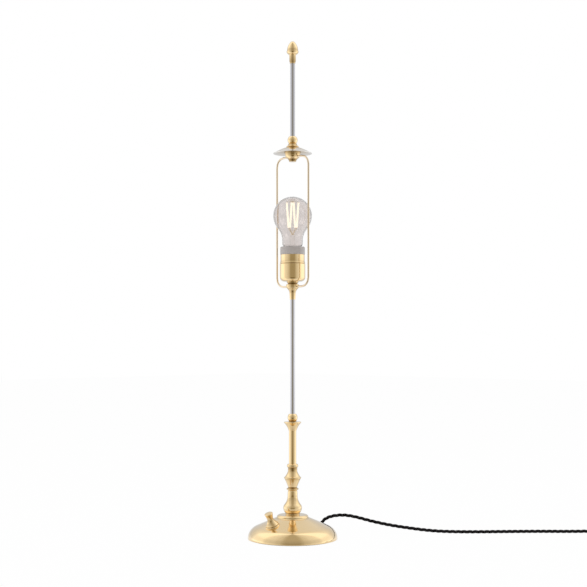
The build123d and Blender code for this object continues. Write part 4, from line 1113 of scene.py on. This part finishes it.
def bent_wire(node, side):
    """A ring carried round two quarter bends in the plane of X and Z, along a track in metres."""
    low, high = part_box(node)
    near, far = sorted((abs(low.x), abs(high.x)))
    far, foot, head = far - WIRE_R, low.z + WIRE_R, high.z - WIRE_R
    track = rounded([
        (near, foot), (far - BEND, foot), (far, foot + BEND, BEND_BOW), (far, head - BEND),
        (far - BEND, head, BEND_BOW), (near, head),
    ], 0, False)
    way = unit(np.gradient(track, axis=0))
    level = np.array((side, 0, 0))
    path = track[:, :1] * level + track[:, 1:] * np.array(up)
    normal = way[:, 1:] * level - way[:, :1] * np.array(up)
    across = np.broadcast_to((0, side, 0), normal.shape)
    grid = carried(path, normal, across, ring(WIRE_R, WIRE_SIDES))
    fit(put_mesh(node + "_wire", [grid]), node, finish="drawn_brass")


bent_wire("loop_left", -1)
bent_wire("loop_right", 1)

# %% [markdown]
# ## Top and finial
#
# A button hangs under the bowl where the wires meet. On the bowl lies the thin disc that carries a shade,
# held by a collar and a ball, and above them the second rod ends in an acorn finial that unscrews.

# %% Top
TURNED_TOP = {
    "hub_button": [(0, 0), (4.6, 0), (5.8, 1.2, 0.351), (5.8, 2.6), (7.3, 3.2), (7.3, 4.3), (0, 4.3)],
    "shade_disc": [
        (3.85, 8.8), (9.2, 8.8), (28.5, 0.2, -0.8), (30.0, 0), (30.0, 0.8), (28.5, 1.2), (9.2, 9.8, 0.8),
        (3.85, 9.8),
    ],
    "disc_collar": [(3.85, 0), (9.2, 0), (9.8, 0.6), (9.8, 1.2), (6.8, 4.7, -0.3), (6.8, 5.5), (3.85, 5.5)],
    "upper_ball": [(3.85, 0), (5.215, 0), (5.215, 11.6, 2.585), (3.85, 11.6)],
    "upper_rod": [(2.75, 0), (3.75, 0), (3.75, 151.4), (2.75, 151.4)],
    "finial_cup": [(2.75, 0), (4.4, 0), (4.4, 2.6), (5.1, 3.2), (5.1, 12.2), (5.4, 13.9), (2.75, 13.9)],
    "finial_acorn": [
        (0, 0), (2.65, 0), (2.65, 25.9), (5.6, 25.9), (9.4, 29.5, 0.5), (9.4, 30.5), (8.7, 31.9),
        (3.2, 45.3, 1.35), (0, 46.6, 0.337),
    ],
}
top = {node: turned(node, outline) for node, outline in TURNED_TOP.items()}
hub_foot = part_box("upper_hub")[0].z
top["upper_hub"] = turned("upper_hub", [
    (3.85, 0), (7.3, 0), (11.9, 6.3, 1.0), (13.1, 11.8, 0.3), (13.1, 12.5), (12.6, 13.0), (7.5, 13.4),
    (7.5, 17.0), (3.85, 17.0),
], foot=(0, 0, hub_foot))
print("top:", len(top), "turned pieces")

# %% [markdown]
# ## Painted warm reflections in the disc, painted shade on the bowl
#
# The disc is a mirror, so towards its middle it is tinted by the brass round it, and the bowl under it is in
# its shade. Ray tracing finds some of this, but the photograph shows more. A painted mask could add it.
# Each point already has a tarnish and painted shade value for its grooves, so that value is raised here: by
# radius, for the painted reflection of brass in the disc, and by height, for the painted shade on the bowl.

# %% Painted reflection of the brass in the disc, painted shade on the bowl
# Radii in millimetres over which the disc's painted reflection of brass fades out; heights in millimetres on
# the bowl over which its painted shade grows, and that shade's depth
DISC_PAINTED_REFLECTION = (13.5, 30.0)
DISC_FADE = 1.5
HUB_SHADE = (4.0, 10.5)
HUB_PAINTED_SHADE_DEPTH = 0.9


def deepen(piece, depth):
    """Raises a piece's tarnish and painted shade value at each point to the depth given there: max(value,
    depth).
    """
    values = piece.data.attributes["tarnish_and_shade"].data
    tarnish_and_shade = np.empty(len(depth))
    values.foreach_get("value", tarnish_and_shade)
    values.foreach_set("value", np.maximum(tarnish_and_shade, depth))


disc_radius = np.hypot(*spots_of(top["shade_disc"].data)[:, :2].T) / MM
hub_rise = (spots_of(top["upper_hub"].data)[:, 2] - hub_foot) / MM
deepen(top["shade_disc"], np.interp(disc_radius, DISC_PAINTED_REFLECTION, (1, 0)) ** DISC_FADE)
deepen(top["upper_hub"], np.interp(hub_rise, HUB_SHADE, (0, HUB_PAINTED_SHADE_DEPTH)))
print("warmed points:", len(disc_radius), "on the disc,", len(hub_rise), "on the bowl")

# %% [markdown]
# ## Lampholder
#
# A brass cap and shell hold the porcelain, and a porcelain ring screws on at the top. Inside is the threaded
# shell that takes the bulb. A thread is a turned piece whose radius also waves with the angle, so that the
# wave climbs one pitch a turn.

# %% Lampholder
LAMP_THREAD_PITCH = 3.63
SHELL_WALL = 0.7
SHELL_THREAD = 0.3

turned("holder_cap", [
    (12.5, 0), (19.8, 5.6, 1.55), (19.8, 27.1), (19.3, 27.6, 0.146), (19.0, 27.6), (19.0, 5.6),
    (12.5, 0.8, -1.55), (5.0, 0.8), (5.0, 0),
])
turned("holder_shell", [
    (18.1, 0), (18.9, 0), (18.9, 4.7), (19.6, 4.9), (19.6, 5.5), (18.9, 8.2), (18.9, 18.3), (18.1, 18.3),
], foot=(0, 0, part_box("holder_shell")[0].z), reach=FINE_REACH)
turned("porcelain_skirt", [
    (15.4, 0), (18.0, 0), (18.0, 6.0), (18.75, 6.0), (19.25, 6.5), (19.25, 16.5), (17.45, 18.3, 0.53),
    (16.4, 18.3), (15.4, 17.3, 0.29),
])
low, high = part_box("screw_shell")
shell_h = (high.z - low.z) / MM
shell_r = (high.x - low.x) / 2 / MM
bore_r = shell_r - SHELL_WALL
turned("screw_shell", [(bore_r, 0), (shell_r, 0), (shell_r, shell_h), (bore_r, shell_h)],
       thread=(LAMP_THREAD_PITCH, SHELL_THREAD, 0, shell_h))

# %% [markdown]
# ## Bulb
#
# The bulb is a closed glass shell on a screw cap. Its outline runs down the inside from the crown, round the
# foot and up the outside, so one turn about the axis makes both walls and light bends through real glass.
# Inside stand the glass stem, which is clearer than the bulb, the wires and four bright sticks.

# %% Glass and cap
GLASS_WALL = 0.8
CROWN_R = 30.0
CROWN_Z = 56.7
CROWN_FROM = radians(38.0)
CAP_THREAD = (LAMP_THREAD_PITCH, 0.55, 1.0, 18.5)


def glass_side(inset):
    """The bulb's wall from its foot to its crown, moved inwards: a neck, a sweep and a sphere."""
    radius = CROWN_R - inset
    return [
        (12.3 - inset, 0.0, 0.0),
        (12.3 - inset, 9.3, 0.0),
        (15.9 - inset, 12.2, 0.6),
        (16.2 - inset, 21.2, 0.0),
        (radius * cos(CROWN_FROM), CROWN_Z - radius * sin(CROWN_FROM), -1.6),
        (0.0, CROWN_Z + radius, radius * (1 - cos((pi / 2 + CROWN_FROM) / 2))),
    ]


outside, inside = glass_side(0.0), glass_side(GLASS_WALL)
down = [(point[0], point[1], -after[2]) for point, after in zip(inside[:-1], inside[1:])][::-1]
turned("bulb_glass", [inside[-1][:2]] + down + outside, edge=0.35, around=128)
turned("bulb_cap", [
    (11.2, 0), (12.2, 0), (13.2, 1.0, 0.29), (13.2, 21.5), (12.6, 21.5), (12.6, 11.0), (11.2, 11.0),
], thread=CAP_THREAD)
turned("cap_insulator", [(0, 0), (5.4, 0), (12.2, 3.8, -0.4), (0, 3.8)])
turned("cap_contact", [(0, 0), (4.8, 0), (4.8, 1.2), (0, 1.2)], edge=0.5, around=48)
stem = turned("bulb_stem", [
    (0, 0), (12.3, 0), (12.3, 1.5), (11.2, 1.5), (4.0, 11.4, -3.0), (3.2, 24.4), (2.8, 28.5), (0.9, 28.5),
    (0.9, 79.5), (0, 79.5),
], around=64)
clearness = stem.data.attributes.new("clear", "FLOAT", "POINT")
clearness.data.foreach_set("value", np.ones(len(stem.data.vertices)))
print("bulb", 2 * CROWN_R, "mm across and", CROWN_Z + CROWN_R, "mm of glass high")

# %% Sticks and wires
STICK_R = 1.5
SUPPORT_R = 0.4
LEAD_R = 0.6
TAB = 1.4
TAB_R = 0.7
TAB_LAP = 1.2
ROD_ROUND = 0.6
STICK_ENDS = [((6.4, -1.5), (9.2, 0.0)), ((4.0, -1.5), (1.4, -3.5))]
LEAD_RISE = 9.5
COLLAR_R = 2.8
STAR_R = 2.2
DISC_SIDES = 32

half_disc = 2 * SUPPORT_R * MM
low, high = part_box("filament_frame")
low_z, high_z = low.z + half_disc, high.z - half_disc
foot_z = low_z + LEAD_RISE * MM


def on_lamp(x, y, z):
    """A point given in millimetres to the right and away from the camera, and by its height in metres."""
    return to_right * x * MM - to_camera * y * MM + up * z


def rod_between(start, end, radius, sides=16):
    """A short round rod with rounded ends: an outline spun about the line from start to end."""
    length = (end - start).length / MM
    curve = rounded([(0, 0), (radius, 0), (radius, length), (0, length)], radius * ROD_ROUND, False)
    return spun(curve, sides, start, end - start)


stick_grids, wire_grids = [], []
for side in (-1, 1):
    for (foot_x, foot_y), (top_x, top_y) in STICK_ENDS:
        foot, top = on_lamp(side * foot_x, foot_y, foot_z), on_lamp(side * top_x, top_y, high_z)
        tab = (top - foot).normalized() * TAB * MM
        stick_grids.append(rod_between(foot + tab, top - tab, STICK_R))
        lap = tab * TAB_LAP
        wire_grids += [rod_between(foot, foot + lap, TAB_R), rod_between(top - lap, top, TAB_R)]
        wire_grids += [rod_between(up * low_z, foot, LEAD_R), rod_between(up * high_z, top, SUPPORT_R)]
for z, radius in ((low_z, COLLAR_R), (high_z, STAR_R)):
    wire_grids.append(rod_between(up * (z - half_disc), up * (z + half_disc), radius, DISC_SIDES))
fit(put_mesh("bright_sticks", stick_grids), "bulb_filaments")
fit(put_mesh("stick_wires", wire_grids), "filament_frame")
print("bulb:", len(stick_grids), "sticks and", len(wire_grids), "wires")

# %% [markdown]
# ## Pieces inside
#
# What is left is inside the foot, the column and the lampholder: the weight, nuts, washers, leads and
# contacts. Their CAD shapes are right, so they stay, and only get their finish.

# %% Pieces inside
dressed = 0
for node, piece in frame["nodes"].items():
    if not piece.hide_render:
        piece.data.materials.clear()
        piece.data.materials.append(finishes[slot_of[node]])
        dressed += 1
print("CAD pieces dressed:", dressed)
